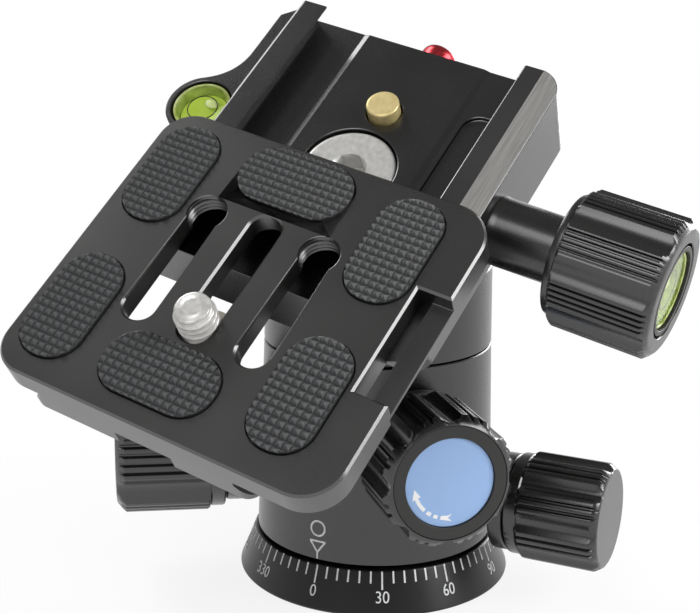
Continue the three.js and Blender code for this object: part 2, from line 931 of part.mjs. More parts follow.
function makeClampKnob() {
  const k = clampKnob;
  const group = new THREE.Group();
  group.position.set(0, k.y, k.z);
  group.rotation.y = Math.PI / 2;
  const end = k.from + (k.to - k.from) * 0.4;
  const bore = solid(rod(k.shaft + gap, jaw.neckEnd, end + gap));
  const seatFloor = end + 3 * gap;
  const seat = solid(rod(k.ring + gap / 2, seatFloor, k.to + gap, around.middle));
  const washer = cut(solid(rod(k.washer, jaw.neckEnd + gap, k.from - gap, around.middle)), bore);
  const ring = cut(
    solid(turned([
      [0, seatFloor + gap],
      [k.ring - gap / 2, seatFloor + gap],
      [k.ring - gap / 2, k.to - edge],
      [k.ring - gap / 2 - edge, k.to],
      [0, k.to],
    ], around.middle)),
    solid(rod(k.window, seatFloor + k.sunk + 2 * gap, k.to + gap, around.middle)),
  );
  const vial = rod(k.window - gap, seatFloor + k.sunk + 3 * gap, k.to - k.sunk, around.middle);
  group.add(
    node('clamp_knob', body(cut(grip(k), bore, seat)), 'black'),
    node('clamp_washer', body(washer), 'black'),
    node('clamp_bolt', rod(k.shaft, k.shaftEnd, end), 'steel'),
    node('knob_level_ring', body(ring), 'black'),
    node('knob_level', vial, 'lime'),
  );
  return group;
}

// Stop pin and its release button

function makeStopPin() {
  const p = stopPin;
  const pin = turned([
    [0, p.bottom],
    [p.radius - edge, p.bottom],
    [p.radius, p.bottom + edge],
    [p.radius, p.top - edge],
    [p.radius - edge, p.top],
    [0, p.top],
  ], around.small).translate(p.x, p.y, 0);
  return [node('stop_pin', pin, 'brass')];
}

function makeButton() {
  const b = button;
  const face = clamp.back + b.out;
  const back = clamp.back - b.deep;
  const cap = turned([
    [0, b.stemEnd],
    [b.stem, b.stemEnd],
    [b.stem, back],
    [b.radius, back],
    [b.radius, face - 2 * edge],
    [b.radius - edge, face - edge / 2],
    [b.radius - 2 * edge, face],
    [0, face],
  ], around.small);
  return [node('release_button', alongY(cap, b.x, b.z), 'red')];
}

// Camera plate with its slots, side cut-out and pads

function makePlate() {
  const p = plate;
  const middleX = (p.left + p.right) / 2;
  const middleY = (p.front + p.back) / 2;
  const outline = softRectangle(p.right - p.left, p.back - p.front, p.cornerLeft, p.cornerRight);
  const slab = new THREE.ExtrudeGeometry(outline, {
    depth: p.top - p.under - 2 * p.bevel,
    bevelThickness: p.bevel,
    bevelSize: p.bevel,
    bevelOffset: -p.bevel,
    bevelSegments: 1,
    curveSegments: around.corner + 1,
  }).translate(middleX, middleY, p.under + p.bevel);

  const neckLeft = p.railLeft + p.flank;
  const section = [
    [p.railLeft, p.railBottom],
    [p.railRight, p.railBottom],
    [p.railRight, p.railBottom + p.railEdge],
    [plateNeck, p.railBottom + p.railEdge + p.flankRise],
    [plateNeck, p.under + p.bevel],
    [neckLeft, p.under + p.bevel],
    [neckLeft, p.railBottom + p.railEdge + p.flankRise],
    [p.railLeft, p.railBottom + p.railEdge],
  ];
  const railWide = p.railRight - p.railLeft;
  const plan = softRectangle(railWide, p.back - p.front, p.railRound, p.railRound);
  const tongue = common(
    solid(rail(section, p.front - gap, p.back + gap)),
    solid(upright(plan, p.railBottom - gap, p.top - p.web)
      .translate(p.railLeft + railWide / 2, middleY, 0)),
  );

  const tools = [
    block(p.pocketLeft, p.pocketRight, p.pocketFront, p.pocketBack, p.railBottom - gap, p.top - p.web),
    block(p.channelLeft, p.channelRight, p.front - gap, p.back + gap,
      p.railBottom - gap, p.railBottom + p.channelDeep),
  ];
  const length = slot.back - slot.front;
  for (const side of [-1, 0, 1]) {
    const hole = upright(longHole(slot.width, length), p.top - p.web - gap, p.top + gap);
    tools.push(hole.translate(slot.middle + side * slot.spacing, (slot.front + slot.back) / 2, 0));
  }
  for (const side of [-1, 1]) {
    const hole = rod(slot.hole, p.top - p.web - gap, p.top + gap);
    tools.push(hole.translate(slot.middle + side * slot.spacing, slot.back - slot.hole, 0));
  }

  const o = cutOut;
  const floorShape = [
    [o.wall, o.floor],
    [p.right + gap, o.floor],
    [p.right + gap, p.top + gap],
    [o.wall - edge - gap, p.top + gap],
    [o.wall - edge, p.top],
    [o.wall, p.top - edge],
  ];
  tools.push(
    rail(floorShape, o.front, o.back),
    block(o.wall, o.wall + o.windowWide, o.windowFront, o.windowBack, p.under - gap, o.floor + gap),
    block(o.wall, o.wall + o.windowWide, o.windowBack - gap, o.back, o.groove, o.floor + gap),
    block(p.right - o.notchDeep, p.right + gap, o.notchFront, o.notchBack, p.under - gap, o.notchTop),
  );

  const pads = [];
  for (const place of padPlaces) {
    const angle = place.across ? Math.PI / 2 : 0;
    const grow = 2 * gap;
    const well = softRectangle(pad.width + grow, pad.length + grow, pad.round + gap, pad.round + gap);
    tools.push(upright(well, p.top - pad.recess, p.top + gap)
      .rotateZ(angle).translate(place.x, place.y, 0));
    const top = softRectangle(pad.width, pad.length, pad.round, pad.round);
    const soft = upright(top, p.top - pad.recess + gap, p.top + pad.proud)
      .rotateZ(angle).translate(place.x, place.y, 0);
    pads.push(node(place.name, soft, 'rubber'));
  }

  const whole = cut(join(solid(slab), tongue), ...tools.map(solid));
  return [node('plate', body(whole), 'black'), ...pads];
}

// Camera screw held in the middle slot by a washer under the web

function makeCameraScrew() {
  const s = cameraScrew;
  const web = plate.top - plate.web;
  const washerTop = web - gap;
  const headTop = washerTop - s.washerThick - gap;
  const washer = turned([
    [s.neck + gap, washerTop - s.washerThick],
    [s.washer, washerTop - s.washerThick],
    [s.washer, washerTop],
    [s.neck + gap, washerTop],
  ], around.small).translate(s.x, s.y, 0);
  const shank = cut(
    solid(turned([
      [0, headTop - s.headThick],
      [s.head - edge, headTop - s.headThick],
      [s.head, headTop - s.headThick + edge],
      [s.head, headTop],
      [s.neck, headTop],
      [s.neck, s.threadFrom],
      [s.thread, s.threadFrom + edge],
      [s.thread, s.top - s.dome - edge],
      [s.thread * 0.75, s.top - s.dome],
      [s.thread * 0.68, s.top - edge / 2],
      [s.thread * 0.55, s.top],
      [0, s.top],
    ], around.small)),
    solid(block(-s.head, s.head, -s.slot / 2, s.slot / 2,
      headTop - s.headThick - gap, headTop - s.headThick / 2)),
  );
  return {
    washer: [node('screw_washer', washer, 'nylon')],
    screw: [node('camera_screw', body(shank).translate(s.x, s.y, 0), 'bright')],
  };
}

// The scene graph follows the chain of joints

const head = new THREE.Group();
const panning = new THREE.Group();
const swing = new THREE.Group();
const leaning = new THREE.Group();
const clampGroup = new THREE.Group();
const jawGroup = new THREE.Group();
const plateGroup = new THREE.Group();
const screwGroup = new THREE.Group();

swing.position.z = ball.height;
swing.rotation.z = THREE.MathUtils.degToRad(pose.towards);
leaning.rotation.y = THREE.MathUtils.degToRad(pose.lean);
clampGroup.rotation.z = THREE.MathUtils.degToRad(pose.spin);

const { washer, screw: cameraScrewNodes } = makeCameraScrew();
screwGroup.add(...washer, ...cameraScrewNodes);
plateGroup.add(...makePlate(), screwGroup);
jawGroup.add(...makeMovingJaw(), makeClampKnob());
clampGroup.add(...makeStem(), ...makeClampBody(), ...makeStopPin(), ...makeButton(), jawGroup, plateGroup);
leaning.add(...makeBall(), clampGroup);
swing.add(leaning);
panning.add(
  ...makeHousing(),
  ...makeLowerCup(),
  makeMainLock(),
  makeFriction(),
  makePanLock(),
  swing,
);
head.add(...makeBase(), panning);

export default head;
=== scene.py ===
from math import atan2, ceil, cos, hypot, pi, radians, sin, sqrt

import bmesh
import bpy
from mathutils import Matrix, Vector


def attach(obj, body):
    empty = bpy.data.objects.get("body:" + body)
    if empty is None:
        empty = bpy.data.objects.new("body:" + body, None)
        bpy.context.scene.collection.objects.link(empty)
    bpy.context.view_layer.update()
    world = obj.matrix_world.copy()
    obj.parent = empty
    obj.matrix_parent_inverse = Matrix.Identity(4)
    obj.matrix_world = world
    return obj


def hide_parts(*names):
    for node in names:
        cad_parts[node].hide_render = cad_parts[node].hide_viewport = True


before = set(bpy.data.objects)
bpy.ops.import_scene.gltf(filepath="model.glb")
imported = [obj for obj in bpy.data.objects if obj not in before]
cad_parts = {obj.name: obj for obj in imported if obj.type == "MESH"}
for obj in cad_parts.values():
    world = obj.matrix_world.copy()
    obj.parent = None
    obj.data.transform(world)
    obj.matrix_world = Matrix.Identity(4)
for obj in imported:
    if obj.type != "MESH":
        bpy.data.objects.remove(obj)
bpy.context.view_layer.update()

mm = 0.001
scene = bpy.context.scene
print("frame loaded:", len(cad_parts), "nodes")

# The head: the stem's lean and the clamp's turn about it, as the frame has them.
# Lengths below are millimetres until a piece is placed.
ballHeight = 51.5
headTurn = (
    Matrix.Rotation(radians(12.75), 4, "Z")
    @ Matrix.Rotation(radians(42.25), 4, "Y")
    @ Matrix.Rotation(radians(71.54), 4, "Z")
)
rowPlace = Matrix.Scale(mm, 4)
ballPlace = rowPlace @ Matrix.Translation((0, 0, ballHeight))
headPlace = ballPlace @ headTurn


def radialPlace(azimuth, height):  # z runs out from the pan axis
    turn = Matrix.Rotation(radians(azimuth), 4, "Z") @ Matrix.Rotation(pi / 2, 4, "Y")
    return rowPlace @ Matrix.Translation((0, 0, height)) @ turn


def alongX(y, z):  # z of the piece runs along the head's x
    return headPlace @ Matrix.Translation((0, y, z)) @ Matrix.Rotation(pi / 2, 4, "Y")


def alongY(x, z):  # z of the piece runs along the head's y
    return headPlace @ Matrix.Translation((x, 0, z)) @ Matrix.Rotation(-pi / 2, 4, "X")


# Materials


def linear(code):  # sRGB hex to the linear colour that the shader wants
    parts = [int(code[i:i + 2], 16) / 255 for i in (1, 3, 5)]
    return [c / 12.92 if c <= 0.04045 else ((c + 0.055) / 1.055) ** 2.4 for c in parts] + [1]


def perMetre(size):  # scale of a pattern whose grain is this many millimetres
    return 1 / (size * mm)


def addNode(tree, kind, inputs, **settings):
    node = tree.nodes.new(kind)
    for name, value in settings.items():
        setattr(node, name, value)
    for name, value in inputs.items():
        if isinstance(value, bpy.types.NodeSocket):
            tree.links.new(value, node.inputs[name])
        else:
            node.inputs[name].default_value = value
    return node


def newMaterial(name):
    material = bpy.data.materials.new(name)
    material.use_nodes = True
    material.node_tree.nodes.clear()
    return material, material.node_tree


def finishTree(tree, shader):
    addNode(tree, "ShaderNodeOutputMaterial", {"Surface": shader.outputs[0]})


def headCoordinates(tree, stretch=(1, 1, 1)):
    coords = addNode(tree, "ShaderNodeTexCoord", {})
    toHead = addNode(
        tree,
        "ShaderNodeMapping",
        {"Vector": coords.outputs["Object"], "Location": (0, 0, ballHeight * mm),
         "Rotation": headTurn.to_euler()},
        vector_type="TEXTURE",
    )
    return addNode(tree, "ShaderNodeMapping", {"Vector": toHead.outputs[0], "Scale": stretch}).outputs[0]


# Black anodised aluminium, bead blasted before the dye: satin, with a fine grain.
# The oxide over the metal acts as a clear layer, so it brightens at a low angle.
def anodised(name, dark, light, roughness, grain=0.12, bump=0.03, index=1.75):
    material, tree = newMaterial(name)
    coords = addNode(tree, "ShaderNodeTexCoord", {}).outputs["Object"]
    blast = addNode(tree, "ShaderNodeTexNoise", {"Vector": coords, "Scale": perMetre(grain), "Detail": 2})
    drift = addNode(tree, "ShaderNodeTexNoise", {"Vector": coords, "Scale": perMetre(18), "Detail": 3})
    mixed = addNode(
        tree,
        "ShaderNodeMath",
        {0: blast.outputs["Fac"], 1: 0.5, 2: drift.outputs["Fac"]},
        operation="MULTIPLY_ADD",
    )
    colour = addNode(tree, "ShaderNodeValToRGB", {"Fac": mixed.outputs[0]})
    colour.color_ramp.elements[0].position = 0.5
    colour.color_ramp.elements[0].color = linear(dark)
    colour.color_ramp.elements[1].position = 1
    colour.color_ramp.elements[1].color = linear(light)
    sheen = addNode(
        tree,
        "ShaderNodeMapRange",
        {"Value": mixed.outputs[0], "From Min": 0.5, "From Max": 1.0,
         "To Min": roughness - 0.03, "To Max": roughness + 0.03},
    )
    relief = addNode(
        tree, "ShaderNodeBump", {"Height": blast.outputs["Fac"], "Strength": bump, "Distance": 0.05 * mm}
    )
    shader = addNode(
        tree,
        "ShaderNodeBsdfPrincipled",
        {"Base Color": colour.outputs[0], "Roughness": sheen.outputs[0], "Normal": relief.outputs[0],
         "IOR": index},
    )
    finishTree(tree, shader)
    return material


# Metal cut or brushed along one direction: fine streaks that spread the highlight
def brushed(name, dark, light, roughness, stretch, grain=0.25, metallic=1.0, head=True, bump=0.12):
    material, tree = newMaterial(name)
    if head:
        coords = headCoordinates(tree, stretch)
    else:
        source = addNode(tree, "ShaderNodeTexCoord", {}).outputs["Object"]
        coords = addNode(tree, "ShaderNodeMapping", {"Vector": source, "Scale": stretch}).outputs[0]
    streaks = addNode(tree, "ShaderNodeTexNoise", {"Vector": coords, "Scale": perMetre(grain), "Detail": 4})
    colour = addNode(tree, "ShaderNodeValToRGB", {"Fac": streaks.outputs["Fac"]})
    colour.color_ramp.elements[0].position = 0.3
    colour.color_ramp.elements[0].color = linear(dark)
    colour.color_ramp.elements[1].position = 0.75
    colour.color_ramp.elements[1].color = linear(light)
    sheen = addNode(
        tree,
        "ShaderNodeMapRange",
        {"Value": streaks.outputs["Fac"], "From Min": 0.3, "From Max": 0.7,
         "To Min": roughness - 0.05, "To Max": roughness + 0.08},
    )
    relief = addNode(
        tree, "ShaderNodeBump", {"Height": streaks.outputs["Fac"], "Strength": bump, "Distance": 0.05 * mm}
    )
    shader = addNode(
        tree,
        "ShaderNodeBsdfPrincipled",
        {"Base Color": colour.outputs[0], "Roughness": sheen.outputs[0], "Normal": relief.outputs[0],
         "Metallic": metallic},
    )
    finishTree(tree, shader)
    return material


# Moulded or printed surfaces: a fine even grain, no metal in it
def coated(name, dark, light, roughness, grain=0.2, bump=0.08, **sockets):
    material, tree = newMaterial(name)
    coords = addNode(tree, "ShaderNodeTexCoord", {}).outputs["Object"]
    skin = addNode(tree, "ShaderNodeTexNoise", {"Vector": coords, "Scale": perMetre(grain), "Detail": 3})
    colour = addNode(tree, "ShaderNodeValToRGB", {"Fac": skin.outputs["Fac"]})
    colour.color_ramp.elements[0].position = 0.3
    colour.color_ramp.elements[0].color = linear(dark)
    colour.color_ramp.elements[1].position = 0.7
    colour.color_ramp.elements[1].color = linear(light)
    relief = addNode(tree, "ShaderNodeBump", {"Height": skin.outputs["Fac"], "Strength": bump, "Distance": 0.04 * mm})
    shader = addNode(
        tree,
        "ShaderNodeBsdfPrincipled",
        {"Base Color": colour.outputs[0], "Roughness": roughness, "Normal": relief.outputs[0], **sockets},
    )
    finishTree(tree, shader)
    return material


bodyBlack = anodised("blackAnodisedAluminium", "#0f0e0e", "#161514", 0.27)
plateBlack = anodised("blackAnodisedPlate", "#131211", "#1b1a19", 0.29, index=2.0)
jawBlack = anodised("blackAnodisedJaw", "#0e0d0d", "#171616", 0.3, index=2.0)
knobBlack = anodised("blackAnodisedKnob", "#0f0f0e", "#1a1918", 0.27)
# Knob end faces: a lighter grey that stands for the light of the right softbox falling on them, painted light
knobFacePaintedLight = anodised("anodisedKnobFacePaintedLight", "#2f2e2d", "#3b3a39", 0.34)
scaleBlack = anodised("blackAnodisedScale", "#0c0c0c", "#121211", 0.3, index=1.45)
# The jaw's sloped outer top: real brushing streaks, in a light grey that stands for the sheen on the black anodised
# face, a painted highlight
jawPaintedSheen = brushed("brushedAnodisedPaintedSheen", "#7a7977", "#9c9a97", 0.34, (1, 0.03, 1), grain=0.25,
                     metallic=0.0, bump=0.3)
shaftSteel = brushed("turnedSteel", "#8f9193", "#c3c5c7", 0.28, (1, 1, 1), grain=0.3)
nickel = brushed("nickelPlatedSteel", "#c9c8c5", "#dddcd9", 0.34, (1, 1, 1), grain=0.9, metallic=0.45, bump=0.0)
brassTurned = brushed("turnedBrass", "#dcc88a", "#ead79c", 0.36, (1, 1, 1), grain=0.7, metallic=0.4, bump=0.0)
redAnodised = brushed("redAnodisedAluminium", "#cc3d44", "#dc4c53", 0.27, (1, 1, 1), grain=0.5, bump=0.01)
blueDisc = coated("blueAnodisedLabel", "#92b3e3", "#9ebeea", 0.4, grain=0.1, bump=0.03)
markWhite = coated("engravedWhitePaint", "#f2f2f2", "#fafafa", 0.6)
nylonCream = coated("naturalNylon", "#cfc9b8", "#dcd6c6", 0.5)
ringBlack = coated("blackMouldedPlastic", "#222120", "#2a2928", 0.45, grain=0.15)
inkBlack = coated("blackRingInk", "#16160f", "#1f1f16", 0.4)
limeFluid = coated("limeLevelFluid", "#d9f060", "#e9f88a", 0.18, grain=3, bump=0.0)
# The vial's wall: a darker olive that stands for the shade seen at the back of the clear acrylic, painted shade
limeWallPaintedShade = coated("limeAcrylicWallPaintedShade", "#87963f", "#c9d58a", 0.15, grain=2.5, bump=0.0)

# Moulded rubber: a fine grain, with painted shade low in the grooves and a painted highlight on the points, set by
# height
rubberGrey, rubberTree = newMaterial("mouldedRubber")
rubberPoint = headCoordinates(rubberTree)
rubberSkin = addNode(rubberTree, "ShaderNodeTexNoise", {"Vector": rubberPoint, "Scale": perMetre(0.3), "Detail": 3})
rubberHeight = addNode(rubberTree, "ShaderNodeSeparateXYZ", {"Vector": rubberPoint})
rubberPaintedTipLight = addNode(
    rubberTree,
    "ShaderNodeMapRange",
    {"Value": rubberHeight.outputs["Z"], "From Min": 44.6 * mm, "From Max": 45.3 * mm,
     "To Min": 0.0, "To Max": 0.8},
)
rubberGrainAndPaintedLight = addNode(
    rubberTree,
    "ShaderNodeMath",
    {0: rubberSkin.outputs["Fac"], 1: 0.2, 2: rubberPaintedTipLight.outputs[0]},
    operation="MULTIPLY_ADD",
)
rubberGrainAndPaintedShadeRamp = addNode(rubberTree, "ShaderNodeValToRGB", {"Fac": rubberGrainAndPaintedLight.outputs[0]})
rubberGrainAndPaintedShadeRamp.color_ramp.elements[0].position = 0.1
rubberGrainAndPaintedShadeRamp.color_ramp.elements[0].color = linear("#2a2b2c")
rubberGrainAndPaintedShadeRamp.color_ramp.elements[1].position = 0.95
rubberGrainAndPaintedShadeRamp.color_ramp.elements[1].color = linear("#5c5d5f")
rubberBump = addNode(
    rubberTree, "ShaderNodeBump", {"Height": rubberSkin.outputs["Fac"], "Strength": 0.2, "Distance": 0.04 * mm}
)
finishTree(
    rubberTree,
    addNode(
        rubberTree,
        "ShaderNodeBsdfPrincipled",
        {"Base Color": rubberGrainAndPaintedShadeRamp.outputs[0], "Roughness": 0.5, "Normal": rubberBump.outputs[0]},
    ),
)

lens, lensTree = newMaterial("clearAcrylicLens")  # polished acrylic: clear, with a sharp gloss
lensNoise = addNode(
    lensTree,
    "ShaderNodeTexNoise",
    {"Vector": addNode(lensTree, "ShaderNodeTexCoord", {}).outputs["Object"], "Scale": perMetre(6)},
)
lensTint = addNode(lensTree, "ShaderNodeValToRGB", {"Fac": lensNoise.outputs["Fac"]})
lensTint.color_ramp.elements[0].color = linear("#f4fbd8")
lensTint.color_ramp.elements[1].color = linear("#fbffee")
finishTree(
    lensTree,
    addNode(
        lensTree,
        "ShaderNodeBsdfPrincipled",
        {"Base Color": lensTint.outputs[0], "Roughness": 0.03, "Transmission Weight": 1.0, "IOR": 1.2},
    ),
)
bubbleShine = coated("bubbleHighlight", "#eef8c0", "#f8fddc", 0.1, grain=2, bump=0.0)
print("materials made")

# Modelling helpers


def keep(bm, name, body, material, replaced=(), place=rowPlace, sharp=32):
    bmesh.ops.remove_doubles(bm, verts=bm.verts, dist=0.0005)
    bmesh.ops.recalc_face_normals(bm, faces=bm.faces)
    bm.transform(place)
    mesh = bpy.data.meshes.new(name)
    bm.to_mesh(mesh)
    bm.free()
    mesh.shade_smooth()
    mesh.set_sharp_from_angle(angle=radians(sharp))
    for one in material if isinstance(material, (list, tuple)) else [material]:
        mesh.materials.append(one)
    piece = bpy.data.objects.new(name, mesh)
    scene.collection.objects.link(piece)
    shading = piece.modifiers.new("flatFacesStayFlat", "WEIGHTED_NORMAL")
    shading.keep_sharp = True
    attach(piece, body)
    if replaced:
        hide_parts(*replaced)
    return piece


def softened(profile, radius, closed=False, steps=3):  # rounds the corners of a profile
    result = []
    count = len(profile)
    for i in range(count):
        corner = Vector(profile[i])
        if not closed and i in (0, count - 1):
            result.append(tuple(corner))
            continue
        before = Vector(profile[i - 1]) - corner
        after = Vector(profile[(i + 1) % count]) - corner
        reach = min(radius, 0.45 * before.length, 0.45 * after.length)
        start = corner + before.normalized() * reach
        end = corner + after.normalized() * reach
        for s in range(steps + 1):
            t = s / steps
            result.append(tuple(start * (1 - t) ** 2 + corner * 2 * t * (1 - t) + end * t * t))
    return result


def spun(profile, steps=128, closed=False):
    bm = bmesh.new()
    points = [bm.verts.new((r, 0, z)) for r, z in profile]
    edges = [bm.edges.new(pair) for pair in zip(points, points[1:])]
    if closed:
        edges.append(bm.edges.new((points[-1], points[0])))
    bmesh.ops.spin(
        bm, geom=points + edges, cent=(0, 0, 0), axis=(0, 0, 1), dvec=(0, 0, 0),
        angle=2 * pi, steps=steps, use_merge=True, use_normal_flip=False, use_duplicate=False,
    )
    bmesh.ops.remove_doubles(bm, verts=bm.verts, dist=0.0005)
    return bm


def drawnUp(outline, low, high):  # a flat outline drawn up between two heights
    bm = bmesh.new()
    face = bm.faces.new([bm.verts.new((x, y, low)) for x, y in outline])
    top = bmesh.ops.extrude_face_region(bm, geom=[face])["geom"]
    bmesh.ops.translate(
        bm, verts=[v for v in top if isinstance(v, bmesh.types.BMVert)], vec=(0, 0, high - low)
    )
    bmesh.ops.recalc_face_normals(bm, faces=bm.faces)
    return bm


def drawnAlong(section, front, back):  # an x-z section drawn along y
    bm = drawnUp(section, -back, -front)
    bmesh.ops.rotate(bm, verts=bm.verts, cent=(0, 0, 0), matrix=Matrix.Rotation(pi / 2, 3, "X"))
    return bm


def block(x0, x1, y0, y1, z0, z1):
    return drawnUp([(x0, y0), (x1, y0), (x1, y1), (x0, y1)], z0, z1)


def rod(radius, low, high, steps=48):
    return spun([(0, low), (radius, low), (radius, high), (0, high)], steps)


def softRectangle(x0, x1, y0, y1, left, right, steps=10):
    outline = []
    corners = (
        (x1 - right, y0 + right, right, -90), (x1 - right, y1 - right, right, 0),
        (x0 + left, y1 - left, left, 90), (x0 + left, y0 + left, left, 180),
    )
    for x, y, r, start in corners:
        for s in range(steps + 1):
            angle = radians(start + 90 * s / steps)
            outline.append((x + r * cos(angle), y + r * sin(angle)))
    return outline


def combined(bm, tool, operation="DIFFERENCE"):
    pair = []
    for part in (bm, tool):
        bmesh.ops.recalc_face_normals(part, faces=part.faces)
        mesh = bpy.data.meshes.new("work")
        part.to_mesh(mesh)
        part.free()
        pair.append(bpy.data.objects.new("work", mesh))
        scene.collection.objects.link(pair[-1])
    base, other = pair
    modifier = base.modifiers.new("combine", "BOOLEAN")
    modifier.object = other
    modifier.operation = operation
    modifier.solver = "EXACT"
    solved = base.evaluated_get(bpy.context.evaluated_depsgraph_get())
    result = bmesh.new()
    result.from_mesh(solved.to_mesh())
    solved.to_mesh_clear()
    for one in pair:
        mesh = one.data
        bpy.data.objects.remove(one)
        bpy.data.meshes.remove(mesh)
    return result


def broken(bm, width, angle=38, segments=2, where=None):  # breaks the sharp edges
    bmesh.ops.remove_doubles(bm, verts=bm.verts, dist=0.012)
    sharp = []
    for e in bm.edges:
        if len(e.link_faces) == 2 and e.calc_length() > 0.02 and e.calc_face_angle(0) > radians(angle):
            if where is None or where(e):
                sharp.append(e)
    bmesh.ops.bevel(
        bm, geom=sharp, offset=width, offset_type="OFFSET", segments=segments, profile=0.5,
        affect="EDGES", material=-1, clamp_overlap=False,
    )
    return bm


# Panning base and its scale

base = {"top": 22, "bottom": 24.9, "height": 7.5, "socket": 4.76, "minor": 2.22, "major": 3.26,
        "line": 0.3, "figures": 2.05, "figureDrop": 4.66, "foot": 0.4}

slant = Vector((base["bottom"] - base["top"], base["foot"] - base["height"])).normalized()
coneNormal = Vector((-slant.y, slant.x))

keep(
    spun(softened([
        (base["socket"], 0.4), (base["socket"] + 0.5, 0), (base["bottom"] - 0.4, 0),
        (base["bottom"], base["foot"]), (base["top"], base["height"]), (base["socket"], base["height"]),
    ], 0.35, closed=True), 160, closed=True),
    "scaleRing", "base", scaleBlack, ["scale_base"],
)


def ontoCone(azimuth, across, down, lift):  # a point on the scale's slant
    r = base["top"] + slant.x * down + coneNormal.x * lift
    z = base["height"] + slant.y * down + coneNormal.y * lift
    angle = radians(azimuth) + across / (base["top"] + slant.x * down)
    return Vector((r * cos(angle), r * sin(angle), z))


def lettering(text, height):  # a mesh of plain figures, centred on the origin
    curve = bpy.data.curves.new("figures", "FONT")
    curve.body = text
    curve.size = height / 0.7
    curve.align_x = "CENTER"
    curve.align_y = "CENTER"
    curve.extrude = 0.04
    curve.resolution_u = 4
    holder = bpy.data.objects.new("figures", curve)
    scene.collection.objects.link(holder)
    solved = holder.evaluated_get(bpy.context.evaluated_depsgraph_get())
    bm = bmesh.new()
    bm.from_mesh(solved.to_mesh())
    solved.to_mesh_clear()
    bpy.data.objects.remove(holder)
    bpy.data.curves.remove(curve)
    print("figure", text, "has", len(bm.faces), "faces")
    return bm


marks = bmesh.new()
for step in range(72):
    length = base["major"] if step % 6 == 0 else base["minor"]
    line = block(-base["line"] / 2, base["line"] / 2, 0.15, length, -0.03, 0.05)
    bmesh.ops.subdivide_edges(line, edges=[e for e in line.edges], cuts=1, use_grid_fill=True)
    for v in line.verts:
        v.co = ontoCone(step * 5, v.co.x, v.co.y, v.co.z)
    work = bpy.data.meshes.new("work")
    line.to_mesh(work)
    line.free()
    marks.from_mesh(work)
    bpy.data.meshes.remove(work)
for step in range(12):
    figures = lettering(str(step * 30), base["figures"])
    for v in figures.verts:
        v.co = ontoCone(step * 30, v.co.x * 0.88, base["figureDrop"] - v.co.y, v.co.z + 0.02)
    work = bpy.data.meshes.new("work")
    figures.to_mesh(work)
    figures.free()
    marks.from_mesh(work)
    bpy.data.meshes.remove(work)
keep(marks, "degreeMarks", "base", markWhite)
print("base and scale made")

# Housing

shell = {"radius": 20.5, "foot": 21.6, "crown": 20.2, "bottom": 8, "parting": 43.4, "top": 58.5, "bore": 17.5,
         "ball": 16.5}

keep(
    spun(softened([
        (12.3, shell["bottom"]), (shell["foot"], shell["bottom"]),
        (shell["radius"], shell["parting"] - 0.1), (shell["bore"], shell["parting"] - 0.1),
        (shell["bore"], 22), (7.3, 22), (7.3, 19.7), (12.3, 19.7),
    ], 0.45, closed=True), 160, closed=True),
    "housingShell", "housing", bodyBlack, ["housing"],
)

lip = []
for s in range(7):
    height = 4.6 + (shell["top"] - ballHeight - 4.6) * s / 6
    lip.append((sqrt((shell["ball"] + 0.3) ** 2 - height ** 2), ballHeight + height))
collar = spun(softened([
    (shell["bore"], shell["parting"] + 0.1), (shell["radius"], shell["parting"] + 0.1),
    (shell["crown"], shell["top"] - 0.9), (shell["crown"] - 0.9, shell["top"]),
] + lip[::-1] + [(shell["bore"], ballHeight + 4.6)], 0.4, closed=True), 160, closed=True)


def dropNotch():  # the U in the rim that the stem falls into
    tool = block(-24, -2, -5.6, 5.6, ballHeight, 62)
    barrel = rod(5.6, 2, 24)
    bmesh.ops.rotate(barrel, verts=barrel.verts, cent=(0, 0, 0), matrix=Matrix.Rotation(-pi / 2, 3, "Y"))
    bmesh.ops.translate(barrel, verts=barrel.verts, vec=(0, 0, ballHeight))
    return combined(tool, barrel, "UNION")


keep(broken(combined(collar, dropNotch()), 0.2, 60), "rimCollar", "housing", bodyBlack,
     ["rim_collar"])

seat = [(17.2, 51.8), (17.2, 55.8)]
for s in range(5):
    height = 4.3 - 4.0 * s / 4
    seat.append((sqrt(16.74 ** 2 - height ** 2), ballHeight + height))
keep(combined(spun(seat, 96, closed=True), dropNotch()), "upperSeatRing", "housing", nylonCream,
     ["upper_seat"])

# The index mark: a ring, a hollow triangle and a line
index = {"azimuth": -1, "ringHeight": 13.85, "ring": 1.5, "stroke": 0.32, "wide": 2.95,
         "triangleTop": 11.5, "triangleTip": 9.5, "lineEnd": 8.3}


def strokeLine(bm, a, b, width):  # a straight stroke on the housing's wall
    along = Vector(b) - Vector(a)
    side = Vector((-along.y, along.x)).normalized() * width / 2
    corners = [Vector(a) - side, Vector(b) - side, Vector(b) + side, Vector(a) + side]
    bar = drawnUp([tuple(c) for c in corners], -0.03, 0.05)
    bmesh.ops.subdivide_edges(bar, edges=bar.edges[:], cuts=2, use_grid_fill=True)
    merge(bm, bar)


def merge(bm, part):
    work = bpy.data.meshes.new("work")
    part.to_mesh(work)
    part.free()
    bm.from_mesh(work)
    bpy.data.meshes.remove(work)


